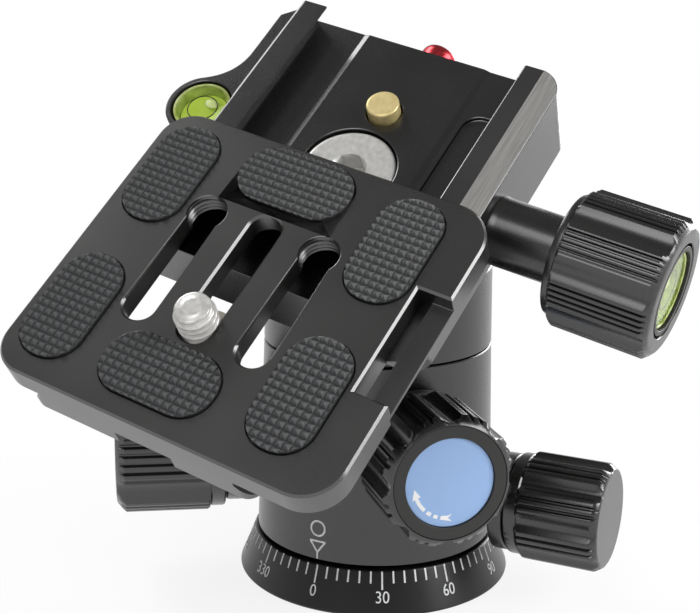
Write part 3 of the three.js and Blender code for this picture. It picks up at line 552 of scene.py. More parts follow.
indexMark = bmesh.new()
ring = spun([
    (index["ring"] - index["stroke"], -0.03), (index["ring"], -0.03),
    (index["ring"], 0.05), (index["ring"] - index["stroke"], 0.05),
], 48, closed=True)
bmesh.ops.translate(ring, verts=ring.verts, vec=(0, index["ringHeight"], 0))
merge(indexMark, ring)
half = index["wide"] / 2
strokeLine(indexMark, (-half, index["triangleTop"]), (half, index["triangleTop"]), index["stroke"])
strokeLine(indexMark, (-half, index["triangleTop"]), (0, index["triangleTip"]), index["stroke"])
strokeLine(indexMark, (half, index["triangleTop"]), (0, index["triangleTip"]), index["stroke"])
strokeLine(indexMark, (0, index["triangleTip"] + 0.2), (0, index["lineEnd"]), index["stroke"])
for v in indexMark.verts:
    rise = (v.co.y - shell["bottom"]) / (shell["parting"] - shell["bottom"])
    wall = shell["foot"] + (shell["radius"] - shell["foot"]) * rise
    angle = radians(index["azimuth"]) + v.co.x / wall
    r = wall + v.co.z
    v.co = Vector((r * cos(angle), r * sin(angle), v.co.y))
keep(indexMark, "indexMark", "housing", markWhite)

# The ball; its lower cup keeps the frame's own solid, further down
ballProfile = [(0, -16.5)]
for s in range(1, 41):
    height = -16.5 + (15.6 + 16.5) * (s / 40)
    ballProfile.append((sqrt(max(16.5 ** 2 - height ** 2, 0)), height))
keep(spun(ballProfile + [(3.3, 15.6), (3.3, 5), (0, 5)], 128), "ballShell", "ball", knobBlack,
     ["ball"], ballPlace)
print("housing and ball made")

# Knobs


def gripRadius(knob):  # angle and radius round one knob's outline
    outline = []
    period = 2 * pi / knob["periods"]
    hollow = period * 0.45
    pitch = (period - hollow) / (knob["ribs"] - 0.25)
    for p in range(knob["periods"]):
        start = p * period - hollow / 2 + radians(knob.get("turn", 0))
        for s in range(12):
            t = s / 12
            outline.append((start + hollow * t, knob["radius"] - knob["hollow"] * 4 * t * (1 - t)))
        for r in range(knob["ribs"]):
            begin = start + hollow + r * pitch
            for t, depth in ((0, 0.06), (0.12, 0), (0.4, 0), (0.52, 0.06)):
                outline.append((begin + pitch * t, knob["radius"] - knob["rib"] * depth * 2))
            if r < knob["ribs"] - 1:
                for t, depth in ((0.6, 0.6), (0.68, 0.95), (0.84, 0.95), (0.92, 0.6)):
                    outline.append((begin + pitch * t, knob["radius"] - knob["rib"] * depth))
    return outline


def gripBody(knob, inner):  # inner rings close the face after the outer bevel
    outline = gripRadius(knob)
    radius, low, high = knob["radius"], knob["from"], knob["to"]
    flange = knob.get("flange", radius - knob["rib"] * 0.9)
    thick = knob.get("thick", (high - low) * 0.14)
    stations = [
        (low, flange - 1.2, True), (low, flange - 0.5, True), (low + 0.15, flange - 0.15, True),
        (low + 0.5, flange, True), (low + thick - 0.25, flange, True), (low + thick, flange - 0.2, True),
        (low + thick + 0.05, radius - 0.35, False), (low + thick + 0.45, radius, False),
        (high - knob["bevel"] - 0.1, radius, False),
        (high - knob["bevel"] * 0.5, radius - knob["bevelIn"] * 0.5, False),
        (high - 0.15, radius - knob["bevelIn"] * 0.92, False),
        (high, radius - knob["bevelIn"] - 0.25, False),
    ] + [(z, r, True) for z, r in inner]
    bm = bmesh.new()
    circle = bmesh.ops.create_circle(bm, segments=len(outline), radius=1)["verts"]
    for v, (angle, _) in zip(circle, outline):
        v.co = Vector((cos(angle), sin(angle), 0))
    lookup = {round(a % (2 * pi), 5): r for a, r in outline}

    def place(verts, station):
        z, limit, plain = station
        for v in verts:
            angle = atan2(v.co.y, v.co.x) % (2 * pi)
            key = min((round(angle + shift, 5) for shift in (0, 1e-5, -1e-5)),
                      key=lambda k: 0 if k in lookup else 1)
            full = lookup.get(key, radius)
            r = limit if plain else min(full, limit)
            v.co = Vector((r * cos(angle), r * sin(angle), z))

    place(circle, stations[0])
    edges = bm.edges[:]
    bmesh.ops.contextual_create(bm, geom=edges)
    for station in stations[1:]:
        grown = bmesh.ops.extrude_edge_only(bm, edges=edges)["geom"]
        place([g for g in grown if isinstance(g, bmesh.types.BMVert)], station)
        edges = [g for g in grown if isinstance(g, bmesh.types.BMEdge)]
    bmesh.ops.contextual_create(bm, geom=edges)
    return bm


def lineRod(radius, low, high, name, body, material, replaced, placeAt):
    profile = softened([(0, low), (radius, low), (radius, high), (0, high)], 0.25)
    return keep(spun(profile, 48), name, body, material, replaced, placeAt)


mainKnob = {"periods": 6, "ribs": 5, "radius": 14, "rib": 0.7, "hollow": 1.5, "from": 28, "to": 47.2,
            "bevel": 1.5, "bevelIn": 1.7}
mainPlace = radialPlace(-55, 26.3)
keep(gripBody(mainKnob, [(47.2, 11), (46.9, 10.6), (46.9, 2)]), "mainLockGrip", "main_lock",
     [knobBlack], ["main_lock_knob"], mainPlace)
keep(spun(softened([(4.3, 24.7), (12.4, 24.7), (12.4, 27.8), (4.3, 27.8)], 0.5, closed=True), closed=True),
     "mainLockCollar", "main_lock", knobBlack, ["main_lock_collar"], mainPlace)
lineRod(4, 17, 34, "mainLockShaft", "main_lock", shaftSteel, ["main_lock_shaft"], mainPlace)

frictionKnob = {"periods": 8, "ribs": 3, "radius": 11.2, "rib": 0.65, "hollow": 1.15, "from": 22.3,
                "to": 39, "bevel": 1.2, "bevelIn": 1.3}
frictionPlace = radialPlace(44, 29.6)
keep(gripBody(frictionKnob, [(38.97, 9.75), (38.6, 9.68), (37.9, 9.68), (37.8, 2)]), "frictionGrip",
     "friction", knobBlack, ["friction_knob"], frictionPlace)
keep(spun(softened([(7.55, 37.95), (9.6, 37.95), (9.6, 38.95), (7.55, 38.95)], 0.18, closed=True), closed=True),
     "frictionRing", "friction", ringBlack, ["friction_ring"], frictionPlace)
keep(spun(softened([(0, 37.95), (7.5, 37.95), (7.5, 38.5), (0, 38.5)], 0.12)), "frictionDisc", "friction",
     blueDisc, ["friction_disc"], frictionPlace)
lineRod(2.5, 19, 31, "frictionShaft", "friction", shaftSteel, ["friction_shaft"], frictionPlace)

panKnob = {"periods": 8, "ribs": 3, "radius": 9.5, "rib": 0.6, "hollow": 1.0, "from": 28, "to": 44.7,
           "bevel": 1.3, "bevelIn": 0.9}
panPlace = radialPlace(92, 16.5)
panGrip = keep(gripBody(panKnob, [(44.7, 8), (44.7, 2)]), "panLockGrip", "pan_lock", [knobBlack, knobFacePaintedLight],
               ["pan_lock_knob"], panPlace)
keep(spun(softened([(2.3, 25), (8.6, 25), (8.6, 27.8), (2.3, 27.8)], 0.5, closed=True), closed=True),
     "panLockCollar", "pan_lock", knobBlack, ["pan_lock_collar"], panPlace)
lineRod(2, 14, 34, "panLockShaft", "pan_lock", shaftSteel, ["pan_lock_shaft"], panPlace)

# A plain arrow on the disc, curved round the way that tightens the friction
arrow = {"radius": 6.0, "width": 0.62, "lift": 38.52}


def arcBand(start, end, inner, outer, steps=12):  # degrees clockwise from up, seen on the face
    outline = []
    for r, order in ((outer, range(steps + 1)), (inner, range(steps, -1, -1))):
        for s in order:
            angle = radians(start + (end - start) * s / steps)
            outline.append((-r * cos(angle), r * sin(angle)))
    return outline


arrowMark = bmesh.new()
r0, r1 = arrow["radius"] - arrow["width"] / 2, arrow["radius"] + arrow["width"] / 2
for start, end in ((-136, -112), (-149, -141), (-161, -154)):
    merge(arrowMark, drawnUp(arcBand(start, end, r0, r1), 0, 0.05))
headAngle = radians(-112)
tip = radians(-96)
wing = 0.45
merge(arrowMark, drawnUp([
    (-(r0 - wing) * cos(headAngle), (r0 - wing) * sin(headAngle)),
    (-(r1 + wing) * cos(headAngle), (r1 + wing) * sin(headAngle)),
    (-arrow["radius"] * cos(tip), arrow["radius"] * sin(tip)),
], 0, 0.05))
tail = []
for degrees, r in ((-166, r0), (-178, r0 - 0.1), (-186, r0 - 0.35), (-178.5, arrow["radius"]), (-185, r1 + 0.35),
                   (-177, r1 + 0.1), (-166, r1)):
    tail.append((-r * cos(radians(degrees)), r * sin(radians(degrees))))
merge(arrowMark, drawnUp(tail, 0, 0.05))
bmesh.ops.translate(arrowMark, verts=arrowMark.verts, vec=(0, 0, arrow["lift"] - 0.02))
keep(arrowMark, "frictionArrow", "friction", markWhite, (), frictionPlace)
print("housing knobs made")

# Stem and clamp screw

stem = spun(softened([
    (0, 5.4), (3, 5.4), (3, 15.8), (5, 15.8), (5, 18.5), (8.5, 21.3), (9, 22.2), (9, 23.7), (0, 23.7),
], 0.8, steps=5))
keep(stem, "stemNeck", "head", bodyBlack, ["stem"], headPlace)

capScrew = {"radius": 7.8, "seat": 29.8, "top": 35.0, "hex": 3.05, "depth": 3.1, "turn": 18}
cap = spun(softened([
    (0, capScrew["seat"]), (capScrew["radius"], capScrew["seat"]), (capScrew["radius"], capScrew["top"] - 0.25),
    (capScrew["radius"] - 0.5, capScrew["top"]), (0, capScrew["top"]),
], 0.3))
socket = rod(capScrew["hex"], capScrew["top"] - capScrew["depth"], capScrew["top"] + 1, 6)
bmesh.ops.rotate(socket, verts=socket.verts, cent=(0, 0, 0),
                 matrix=Matrix.Rotation(radians(capScrew["turn"]), 3, "Z"))
cap = combined(cap, socket)
mouth = spun([(0, capScrew["top"] - 0.55), (2.55, capScrew["top"] - 0.55), (3.45, capScrew["top"] + 0.3),
              (0, capScrew["top"] + 0.3)], 48)
cap = broken(combined(cap, mouth), 0.08, 45)
keep(cap, "capScrew", "head", nickel, ["clamp_screw"], headPlace)

# Clamp body

clamp = {"front": -24.7, "back": 27.1, "bottom": 24, "platform": 35.3, "floor": 35.0, "top": 39.3,
         "left": -27.3, "right": 18.4, "half": 11, "edge": 0.95, "undercut": -21.7, "lip": -18.8,
         "lipRise": 2.9, "lipThick": 0.3, "wallOut": -23.3, "wallSlope": 1.6, "ledge": 36.9, "corner": 2.7}
level = {"x": -29.05, "y": 1.4, "window": 5.1, "lug": 6.2, "depth": 5, "low": 29.5, "reach": 13.5,
         "meets": 121}
recess = {"left": 12.9, "half": 16.5, "deep": 0.6, "round": 3}

section = [
    (clamp["left"] + 2, clamp["bottom"]), (clamp["right"], clamp["bottom"]), (clamp["right"], clamp["floor"]),
    (clamp["half"] + clamp["edge"], clamp["floor"]), (clamp["half"], clamp["platform"]),
    (-clamp["half"], clamp["platform"]), (-clamp["half"] - clamp["edge"], clamp["floor"]),
    (clamp["undercut"], clamp["floor"]),
    (clamp["undercut"], clamp["top"] - clamp["lipThick"] - clamp["lipRise"]),
    (clamp["lip"], clamp["top"] - clamp["lipThick"]), (clamp["lip"], clamp["top"]),
    (clamp["wallOut"], clamp["top"]), (clamp["wallOut"] - clamp["wallSlope"], clamp["ledge"]),
    (clamp["left"], clamp["ledge"]), (clamp["left"], 26), (clamp["left"] + 0.6, 24.6),
]


def bezier(a, b, c, d, steps):
    result = []
    for s in range(steps + 1):
        t = s / steps
        result.append(tuple(
            (1 - t) ** 3 * p + 3 * t * (1 - t) ** 2 * q + 3 * t * t * (1 - t) * r + t ** 3 * w
            for p, q, r, w in zip(a, b, c, d)
        ))
    return result


meets = radians(level["meets"])
side = Vector((level["x"] + level["lug"] * cos(meets), level["lug"] * sin(meets)))
reach = level["reach"]
highSide = bezier(
    side, (side.x + reach * 0.21, side.y + reach * 0.12), (clamp["left"], reach * 0.69),
    (clamp["left"], reach), 20,
)
lugOutline = [(clamp["left"] + 2, -reach)] + [(x, -y) for x, y in reversed(highSide)]
for s in range(1, 40):
    angle = -meets - (2 * pi - 2 * meets) * s / 40
    lugOutline.append((level["x"] + level["lug"] * cos(angle), level["lug"] * sin(angle)))
lugOutline += highSide + [(clamp["left"] + 2, reach)]
lugOutline = [(x, y + level["y"]) for x, y in lugOutline]

clampBody = drawnAlong(section, clamp["front"], clamp["back"])
clampBody = combined(clampBody, drawnUp(lugOutline, level["low"], clamp["ledge"]), "UNION")
middleY = (clamp["front"] + clamp["back"]) / 2
clampTools = [
    drawnUp([
        (clamp["left"] - 1, clamp["back"] - clamp["corner"] - 1),
        (clamp["left"] + clamp["corner"] + 1, clamp["back"] + 1),
        (clamp["left"] - 1, clamp["back"] + 1),
    ], 20, 45),
    drawnUp(softRectangle(recess["left"], clamp["right"] + 3, middleY - recess["half"], middleY + recess["half"],
                          recess["round"], 0.5), clamp["floor"] - recess["deep"], clamp["floor"] + 1),
]
for radius, low, x, y in (
    (level["window"] + 0.15, clamp["ledge"] - level["depth"], level["x"], level["y"]),
    (capScrew["radius"] + 0.3, capScrew["seat"] - 0.3, 0, 0), (3.3, 20, 0, 0), (3.05, 24.9, -0.15, 12.6),
):
    hole = rod(radius, low, 42, 72)
    bmesh.ops.translate(hole, verts=hole.verts, vec=(x, y, 0))
    clampTools.append(hole)
for radius, low, y, z in ((2.3, 6.2, -17, 28), (2.3, 6.2, 19, 28), (3.3, 11.5, 1.2, 30.5)):
    hole = rod(radius, low, 20)
    bmesh.ops.rotate(hole, verts=hole.verts, cent=(0, 0, 0), matrix=Matrix.Rotation(pi / 2, 3, "Y"))
    bmesh.ops.translate(hole, verts=hole.verts, vec=(0, y, z))
    clampTools.append(hole)
for radius, low in ((3.6, 23.4), (1.8, 12.6)):
    hole = rod(radius, low, 30)
    bmesh.ops.rotate(hole, verts=hole.verts, cent=(0, 0, 0), matrix=Matrix.Rotation(-pi / 2, 3, "X"))
    bmesh.ops.translate(hole, verts=hole.verts, vec=(-0.15, 0, 29.7))
    clampTools.append(hole)
for tool in clampTools:
    clampBody = combined(clampBody, tool)
keep(broken(clampBody, 0.2, 40), "clampBlock", "head", bodyBlack, ["clamp_body"], headPlace, 12)


# A round spirit level: lime fluid, its clear acrylic wall drawn in the olive of painted shade, its lens, the ring on
# it and the bubble
def levelPieces(prefix, body, place, radius, low, high, bubble, replaced):
    floorHigh = high - 2.2
    keep(spun(softened([(0, low), (radius - 0.9, low), (radius - 0.9, floorHigh), (0, floorHigh)], 0.1)),
         prefix + "Fluid", body, limeFluid, replaced, place)
    keep(spun(softened([
        (radius - 0.85, low), (radius, low), (radius, high), (radius - 0.45, high), (radius - 0.85, floorHigh + 0.3),
    ], 0.15, closed=True), closed=True), prefix + "Wall", body, limeWallPaintedShade, (), place)
    keep(spun(softened([(0, high - 0.5), (radius - 0.5, high - 0.5), (radius - 0.5, high - 0.08),
                        (0, high - 0.08)], 0.1)),
         prefix + "Lens", body, lens, (), place)
    mark = radius * 0.5
    keep(spun([(mark, high - 0.72), (mark + 0.17, high - 0.72), (mark + 0.17, high - 0.62),
               (mark, high - 0.62)], closed=True), prefix + "Ring", body, inkBlack, (), place)
    air = bmesh.new()
    bmesh.ops.create_uvsphere(air, u_segments=32, v_segments=16, radius=radius * 0.22)
    bmesh.ops.scale(air, verts=air.verts, vec=(1.2, 0.85, 0.3))
    bmesh.ops.translate(air, verts=air.verts, vec=(bubble[0], bubble[1], high - 1.2))
    keep(air, prefix + "Bubble", body, bubbleShine, (), place)


levelPieces("sideLevel", "head", headPlace @ Matrix.Translation((level["x"], level["y"], 0)), 4.95, 32.2, 36.6,
            (0.6, 1.7), ["side_level"])
print("clamp body made")

# Moving jaw

jaw = {"lip": 18.6, "flat": 3.4, "out": 25.6, "bottom": 24.5, "drop": 0.9, "inner": 21.5, "round": 3.6}
jawSection = [
    (jaw["inner"], jaw["bottom"]), (jaw["out"], jaw["bottom"]), (jaw["out"], clamp["top"] - jaw["drop"]),
    (jaw["lip"] + jaw["flat"], clamp["top"]), (jaw["lip"], clamp["top"]),
    (jaw["lip"], clamp["top"] - clamp["lipThick"]),
    (jaw["inner"], clamp["top"] - clamp["lipThick"] - clamp["lipRise"]),
]
jawBody = combined(
    drawnAlong(jawSection, clamp["front"] - 1, clamp["back"] + 1),
    drawnUp(softRectangle(jaw["lip"], jaw["out"], clamp["front"], clamp["back"], 0.4, jaw["round"], 12), 20, 45),
    "INTERSECT",
)
jawBody = broken(jawBody, 0.18, 40)
# The sloped outer top face takes the light grey of the painted sheen
for f in jawBody.faces:
    if f.normal.x > 0.1 and f.normal.z > 0.9:
        f.material_index = 1
keep(jawBody, "jawBar", "jaw", [jawBlack, jawPaintedSheen], ["moving_jaw"], headPlace, 12)
neck = spun(softened([
    (3.3, 25.5), (5.65, 25.5), (5.45, 26.6), (5.4, 37.3), (5.1, 37.3), (5.1, 33), (3.3, 33),
], 0.4, closed=True), 96, closed=True)
keep(neck, "jawNeck", "jaw", knobBlack, (), alongX(1.2, 30.5))
for name, node, y in (("guidePinFront", "guide_pin_front", -17), ("guidePinBack", "guide_pin_back", 19)):
    lineRod(2, 9.5, 21.2, name, "jaw", shaftSteel, [node], alongX(y, 28))

# Clamp knob

clampKnob = {"periods": 8, "ribs": 5, "radius": 11, "rib": 0.5, "hollow": 0.75, "from": 37.6, "to": 55,
             "bevel": 1.1, "bevelIn": 1.2, "flange": 9.7, "thick": 1.4, "turn": 0}
knobPlace = alongX(1.2, 30.5)
clampGrip = gripBody(clampKnob, [(54.95, 7.6), (54.5, 7.35), (43.8, 7.35), (43.8, 2)])
# The knob's flat end face takes the lighter grey of the painted light
for f in clampGrip.faces:
    if f.calc_center_median().z > 54.8 and abs(f.normal.z) > 0.9:
        f.material_index = 1
keep(clampGrip, "clampGrip", "clamp_knob", [knobBlack, knobFacePaintedLight], ["clamp_knob"], knobPlace)
keep(spun(softened([(3.3, 33.3), (4.8, 33.3), (4.8, 34.3), (3.3, 34.3)], 0.2, closed=True), closed=True),
     "clampWasher", "clamp_knob", knobBlack, ["clamp_washer"], knobPlace)
lineRod(3, 14.8, 42.7, "clampBolt", "clamp_knob", shaftSteel, ["clamp_bolt"], knobPlace)
keep(spun(softened([(6.25, 44), (7.05, 44), (7.05, 54.9), (6.25, 54.9)], 0.15, closed=True), closed=True),
     "knobLevelRing", "clamp_knob", ringBlack, ["knob_level_ring"], knobPlace)
levelPieces("knobLevel", "clamp_knob", knobPlace, 6.1, 49.8, 54.4, (-1.2, 0.6), ["knob_level"])
print("jaw and clamp knob made")

# Stop pin and button

pinProfile = softened([(0, 28), (2.75, 28), (2.75, 37.2), (2.45, 37.4), (0, 37.4)], 0.3)
keep(spun(pinProfile, 64), "stopPinBrass", "stop_pin", brassTurned, ["stop_pin"],
     headPlace @ Matrix.Translation((-0.15, 12.6, 0)))
buttonProfile = softened([
    (0, 17.9), (1.5, 17.9), (1.5, 26), (3.3, 26), (3.3, 30.6), (3.05, 31.3), (2.5, 31.6), (0, 31.6),
], 0.35)
keep(spun(buttonProfile, 64), "releaseButton", "release_button", redAnodised, ["release_button"],
     alongY(-0.15, 29.7))

# Camera plate

plate = {"left": -26.7, "right": 31.1, "front": -57.4, "back": -5.5, "under": 39.8, "top": 44.4,
         "railLeft": -21.4, "railRight": 18.5, "railBottom": 35.7, "railEdge": 0.3, "flank": 2.9,
         "railRound": 2.5, "web": 41.1, "chamfer": 0.35}
slots = {"middle": -0.5, "spacing": 10, "half": 2.65, "front": -42.7, "back": -18.6, "hole": 3.2, "pitch": 0.8}

plateBody = drawnUp(
    softRectangle(plate["left"], plate["right"], plate["front"], plate["back"], 5.5, 6.5, 14),
    plate["under"], plate["top"],
)
flankTop = plate["railBottom"] + plate["railEdge"] + plate["flank"]
neckLeft, neckRight = plate["railLeft"] + plate["flank"], plate["railRight"] - plate["flank"]
tongue = combined(
    drawnAlong([
        (plate["railLeft"], plate["railBottom"]), (plate["railRight"], plate["railBottom"]),
        (plate["railRight"], plate["railBottom"] + plate["railEdge"]), (neckRight, flankTop),
        (neckRight, plate["under"] + 0.5), (neckLeft, plate["under"] + 0.5), (neckLeft, flankTop),
        (plate["railLeft"], plate["railBottom"] + plate["railEdge"]),
    ], plate["front"] - 1, plate["back"] + 1),
    drawnUp(softRectangle(plate["railLeft"], plate["railRight"], plate["front"] + 0.01, plate["back"] - 0.01,
                          plate["railRound"], plate["railRound"], 8), 30, 45),
    "INTERSECT",
)
plateBody = combined(plateBody, tongue, "UNION")
cutOut = {"wall": 25.7, "front": -39.8, "back": -21.2, "floor": 41.7}
dip = drawnAlong([
    (cutOut["wall"], 40.5), (cutOut["wall"] + 2, cutOut["floor"]), (cutOut["wall"] + 2, 43), (cutOut["wall"], 43),
], -32.1, cutOut["back"])
plateTools = [
    block(-16.4, 13, -48.5, -13.9, 30, plate["web"]),
    block(-5.2, 4.7, -60, -4, 30, plate["railBottom"] + 2.5),
    block(cutOut["wall"], 35, cutOut["front"], cutOut["back"], cutOut["floor"], 50),
    block(cutOut["wall"], cutOut["wall"] + 2, -39.2, -32, 38, 43),
    dip,
    block(29.5, 35, -40.3, -29, 38, 41),
]
for side in (-1, 0, 1):
    x = slots["middle"] + side * slots["spacing"]
    plateTools.append(drawnUp(
        softRectangle(x - slots["half"], x + slots["half"], slots["front"], slots["back"],
                      slots["half"] * 0.999, slots["half"] * 0.999, 12), 40, 50,
    ))
    if side:  # tapped to let the camera screw through
        profile = [(0, 40), (slots["hole"], 40)]
        for s in range(5):
            z = plate["web"] - 0.1 + slots["pitch"] * s
            if z + slots["pitch"] < plate["top"] - 0.3:
                profile += [(slots["hole"] - 0.15, z), (slots["hole"] + 0.25, z + slots["pitch"] / 2)]
        profile += [(slots["hole"] - 0.1, plate["top"] - 0.75), (slots["hole"], plate["top"] - 0.6),
                    (slots["hole"], 50), (0, 50)]
        hole = spun(profile, 64)
        bmesh.ops.translate(hole, verts=hole.verts, vec=(x, slots["back"] - slots["hole"], 0))
        plateTools.append(hole)
pads = (
    ("padLeftBack", "pad_left_back", -19.9, -17.6, False), ("padLeftFront", "pad_left_front", -19.9, -44.4, False),
    ("padMiddleBack", "pad_middle_back", -0.5, -11.9, True),
    ("padMiddleFront", "pad_middle_front", -0.9, -48.9, True),
    ("padRightBack", "pad_right_back", 19.5, -16.9, False),
    ("padRightFront", "pad_right_front", 19.3, -43.4, False),
)
pad = {"long": 9.45, "wide": 5.15, "round": 4.8, "well": 43.5, "sheet": 44.6, "pitch": 1.3, "height": 0.42,
       "tip": 0.12}


def padOutline(x, y, across, grow=0.0):
    w, h = (pad["long"], pad["wide"]) if across else (pad["wide"], pad["long"])
    w, h, r = w + grow, h + grow, pad["round"] + grow
    return softRectangle(x - w, x + w, y - h, y + h, r, r, 10)


for _, _, x, y, across in pads:
    plateTools.append(drawnUp(padOutline(x, y, across, 0.2), pad["well"], 50))
for tool in plateTools:
    plateBody = combined(plateBody, tool)
topEdges = broken(
    plateBody, plate["chamfer"], 60, 1,
    lambda e: all(abs(v.co.z - plate["top"]) < 0.01 for v in e.verts)
    and not any(abs(f.normal.z) < 0.5 and min(v.co.z for v in f.verts) > pad["well"] - 0.1 for f in e.link_faces),
)
topEdges = broken(topEdges, 0.1, 50, 2, lambda e: min(v.co.z for v in e.verts) > plate["web"] + 0.2)
keep(topEdges, "plateBody", "plate", plateBlack, ["plate"], headPlace, 20)

# Rubber pads: rows of low square pyramids side by side, cut off at the pad's outline
for name, node, x, y, across in pads:
    w, h = (pad["long"], pad["wide"]) if across else (pad["wide"], pad["long"])
    columns, rows = ceil(w / pad["pitch"]) + 1, ceil(h / pad["pitch"]) + 1
    field = bmesh.new()
    corners = {}
    for i in range(-columns, columns + 1):
        for j in range(-rows, rows + 1):
            corners[i, j] = field.verts.new((
                x + (i - 0.5) * pad["pitch"], y + (j - 0.5) * pad["pitch"], pad["sheet"],
            ))
    for i in range(-columns, columns):
        for j in range(-rows, rows):
            square = [corners[i, j], corners[i + 1, j], corners[i + 1, j + 1], corners[i, j + 1]]
            crown = [field.verts.new((
                x + (i + u * pad["tip"]) * pad["pitch"], y + (j + v * pad["tip"]) * pad["pitch"],
                pad["sheet"] + pad["height"],
            )) for u, v in ((-0.5, -0.5), (0.5, -0.5), (0.5, 0.5), (-0.5, 0.5))]
            field.faces.new(crown)
            for s in range(4):
                field.faces.new([square[s], square[(s + 1) % 4], crown[(s + 1) % 4], crown[s]])
    rim = [e for e in field.edges if e.is_boundary]
    wall = bmesh.ops.extrude_edge_only(field, edges=rim)["geom"]
    bmesh.ops.translate(field, verts=[v for v in wall if isinstance(v, bmesh.types.BMVert)], vec=(0, 0, -2))
    bmesh.ops.contextual_create(field, geom=[e for e in field.edges if e.is_boundary])
    cut = combined(field, drawnUp(padOutline(x, y, across), pad["well"] + 0.3, 46), "INTERSECT")
    keep(cut, name, "plate", rubberGrey, [node], headPlace, 20)
print("plate and pads made")

# Camera screw: a captive screw with a stepped end and a cut thread
thread = {"x": -0.4, "y": -39.3, "outer": 3.17, "root": 2.35, "pitch": 1.27, "low": 43.2, "top": 48.6}
screwPlace = headPlace @ Matrix.Translation((thread["x"], thread["y"], 0))
core = bmesh.new()
sides, levels = 64, 72
ringVerts = bmesh.ops.create_circle(core, segments=sides, radius=1)["verts"]


def threadRadius(angle, z):
    phase = ((z - thread["low"]) / thread["pitch"] - angle / (2 * pi)) % 1
    tooth = min(1, max(0, 2.4 * (0.5 - abs(phase - 0.5)) - 0.15) * 1.1)
    r = thread["root"] + (thread["outer"] - thread["root"]) * tooth
    shoulder = thread["top"] - 0.9
    if z > shoulder:
        r = min(r, 2.9 - (z - shoulder) * 0.25)
    elif z > shoulder - 0.3:
        r = min(r, 2.9 + (shoulder - z))
    if z < thread["low"] + 0.4:
        r = min(r, 2.3 + (z - thread["low"]) * 2.2)
    return r


def placeRing(verts, z):
    for v in verts:
        angle = atan2(v.co.y, v.co.x)
        r = threadRadius(angle % (2 * pi), z)
        v.co = Vector((r * cos(angle), r * sin(angle), z))


placeRing(ringVerts, thread["low"])
edges = core.edges[:]
bmesh.ops.contextual_create(core, geom=edges)
for s in range(1, levels + 1):
    grown = bmesh.ops.extrude_edge_only(core, edges=edges)["geom"]
    placeRing([g for g in grown if isinstance(g, bmesh.types.BMVert)],
              thread["low"] + (thread["top"] - 0.25 - thread["low"]) * s / levels)
    edges = [g for g in grown if isinstance(g, bmesh.types.BMEdge)]
for r, z in ((2.55, thread["top"] - 0.1), (2.3, thread["top"] - 0.06), (1.7, thread["top"] - 0.06),
             (1.6, thread["top"]), (1.3, thread["top"])):
    grown = bmesh.ops.extrude_edge_only(core, edges=edges)["geom"]
    for v in [g for g in grown if isinstance(g, bmesh.types.BMVert)]:
        angle = atan2(v.co.y, v.co.x)
        v.co = Vector((r * cos(angle), r * sin(angle), z))
    edges = [g for g in grown if isinstance(g, bmesh.types.BMEdge)]
bmesh.ops.contextual_create(core, geom=edges)
merge(core, spun(softened([
    (0, 37.9), (5, 37.9), (5, 39.7), (2.2, 39.7), (2.2, thread["low"] + 0.1), (0, thread["low"] + 0.1),
], 0.3), 64))
keep(core, "cameraScrew", "camera_screw", nickel, ["camera_screw"], screwPlace, 40)
keep(spun(softened([(2.5, 40.0), (4.8, 40.0), (4.8, 40.8), (2.5, 40.8)], 0.15, closed=True), 64, closed=True),
     "screwWasher", "screw_washer", nylonCream, ["screw_washer"], screwPlace)
print("camera screw made")

# Hidden pieces keep the frame's solids
hidden = {"pan_spindle": shaftSteel, "pan_washer": shaftSteel, "lift_block": shaftSteel,
          "lower_cup": nylonCream}
for name, material in hidden.items():
    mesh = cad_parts[name].data
    mesh.materials.clear()
    mesh.materials.append(material)

# Floor, light and camera

floorMesh = bmesh.new()
bmesh.ops.create_grid(floorMesh, x_segments=1, y_segments=1, size=3)
mesh = bpy.data.meshes.new("floor")
floorMesh.to_mesh(mesh)
floorMesh.free()
floor = bpy.data.objects.new("floor", mesh)
scene.collection.objects.link(floor)
# White paper: it keeps a soft shadow near the part and fades to plain white further out
paper, paperTree = newMaterial("whitePaperFloor")
path = addNode(paperTree, "ShaderNodeLightPath", {})
seen = addNode(paperTree, "ShaderNodeMath", {0: path.outputs["Is Camera Ray"], 1: path.outputs["Is Glossy Ray"]},
               operation="MAXIMUM")
paperPoint = addNode(paperTree, "ShaderNodeTexCoord", {})
away = addNode(paperTree, "ShaderNodeVectorMath", {0: paperPoint.outputs["Object"]}, operation="LENGTH")
veil = addNode(paperTree, "ShaderNodeMapRange", {"Value": away.outputs["Value"], "From Min": 0.03, "From Max": 0.12,
                                                 "To Min": 0.86, "To Max": 1.0})
share = addNode(paperTree, "ShaderNodeMath", {0: seen.outputs[0], 1: veil.outputs[0]}, operation="MULTIPLY")
diffuse = addNode(paperTree, "ShaderNodeBsdfDiffuse", {"Color": linear("#f2f2f2")})
glow = addNode(paperTree, "ShaderNodeEmission", {"Color": (1, 1, 1, 1), "Strength": 1.0})
finishTree(paperTree, addNode(paperTree, "ShaderNodeMixShader", {0: share.outputs[0], 1: diffuse.outputs[0],
                                                                 2: glow.outputs[0]}))
mesh.materials.append(paper)

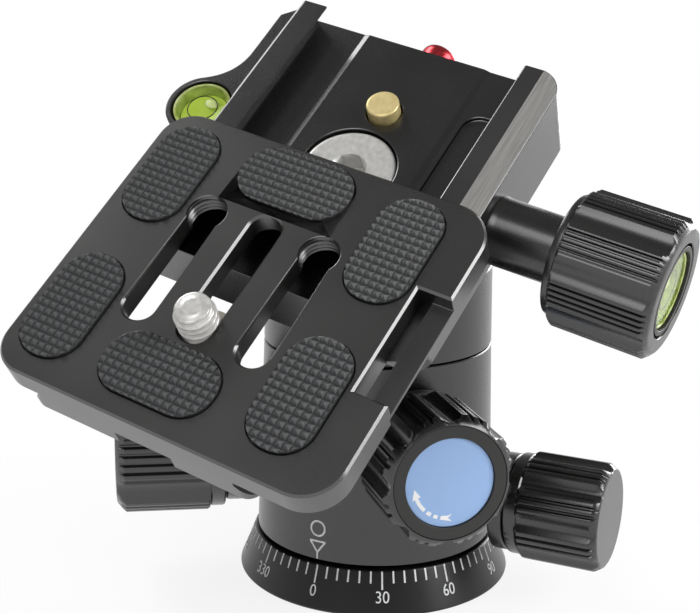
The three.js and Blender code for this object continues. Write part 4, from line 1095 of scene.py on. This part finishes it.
world = bpy.data.worlds.new("studio")
scene.world = world
world.use_nodes = True
worldTree = world.node_tree
worldTree.nodes.clear()
path = addNode(worldTree, "ShaderNodeLightPath", {})
dim = addNode(worldTree, "ShaderNodeBackground", {"Color": (1, 1, 1, 1), "Strength": 0.22})
white = addNode(worldTree, "ShaderNodeBackground", {"Color": (1, 1, 1, 1), "Strength": 1.0})
around = addNode(worldTree, "ShaderNodeTexCoord", {})
height = addNode(worldTree, "ShaderNodeSeparateXYZ", {0: around.outputs["Generated"]})
horizon = addNode(worldTree, "ShaderNodeMapRange", {"Value": height.outputs["Z"], "From Min": 0.1, "From Max": 0.45,
                                                    "To Min": 1.0, "To Max": 0.0})
backdrop = addNode(worldTree, "ShaderNodeMath", {0: path.outputs["Is Glossy Ray"], 1: horizon.outputs[0]},
                   operation="MULTIPLY")
lit = addNode(worldTree, "ShaderNodeMath", {0: path.outputs["Is Camera Ray"], 1: backdrop.outputs[0]},
              operation="MAXIMUM")
mixed = addNode(worldTree, "ShaderNodeMixShader", {0: lit.outputs[0], 1: dim.outputs[0], 2: white.outputs[0]})
addNode(worldTree, "ShaderNodeOutputWorld", {"Surface": mixed.outputs[0]})

# Softboxes: where each stands from the part, its size in metres and its power
aim = Vector((0.02, 0.0, 0.055))
lamps = (
    ("rightSoftbox", (-0.05, 0.53, 0.28), 0.32, 2.6),
    ("leftSoftbox", (-0.09, -0.41, 0.49), 0.26, 1.8),
    ("frontSoftbox", (0.55, 0.05, 0.5), 0.35, 1.6),
    ("rearSoftbox", (-0.56, 0.13, 0.1), 0.34, 2.6),
)
for name, place, size, watts in lamps:
    lamp = bpy.data.lights.new(name, "AREA")
    lamp.shape = "SQUARE"
    lamp.size = size
    lamp.energy = watts
    holder = bpy.data.objects.new(name, lamp)
    scene.collection.objects.link(holder)
    holder.location = aim + Vector(place)
    holder.rotation_euler = (-Vector(place)).to_track_quat("-Z", "Y").to_euler()

camera = bpy.data.cameras.new("camera")
camera.sensor_width = 36
camera.lens = 73.99
camera.clip_start = 0.01
eye = bpy.data.objects.new("camera", camera)
scene.collection.objects.link(eye)
rightway = Vector((-0.459146, 0.888251, 0.013970))
downway = Vector((0.212389, 0.125028, -0.969154))
forward = Vector((-0.862598, -0.442016, -0.246061))
turn = Matrix((rightway, -downway, -forward)).transposed().to_4x4()
eye.matrix_world = Matrix.Translation((0.22607, 0.11012, 0.11269)) @ turn
scene.camera = eye
scene.view_settings.view_transform = "Standard"
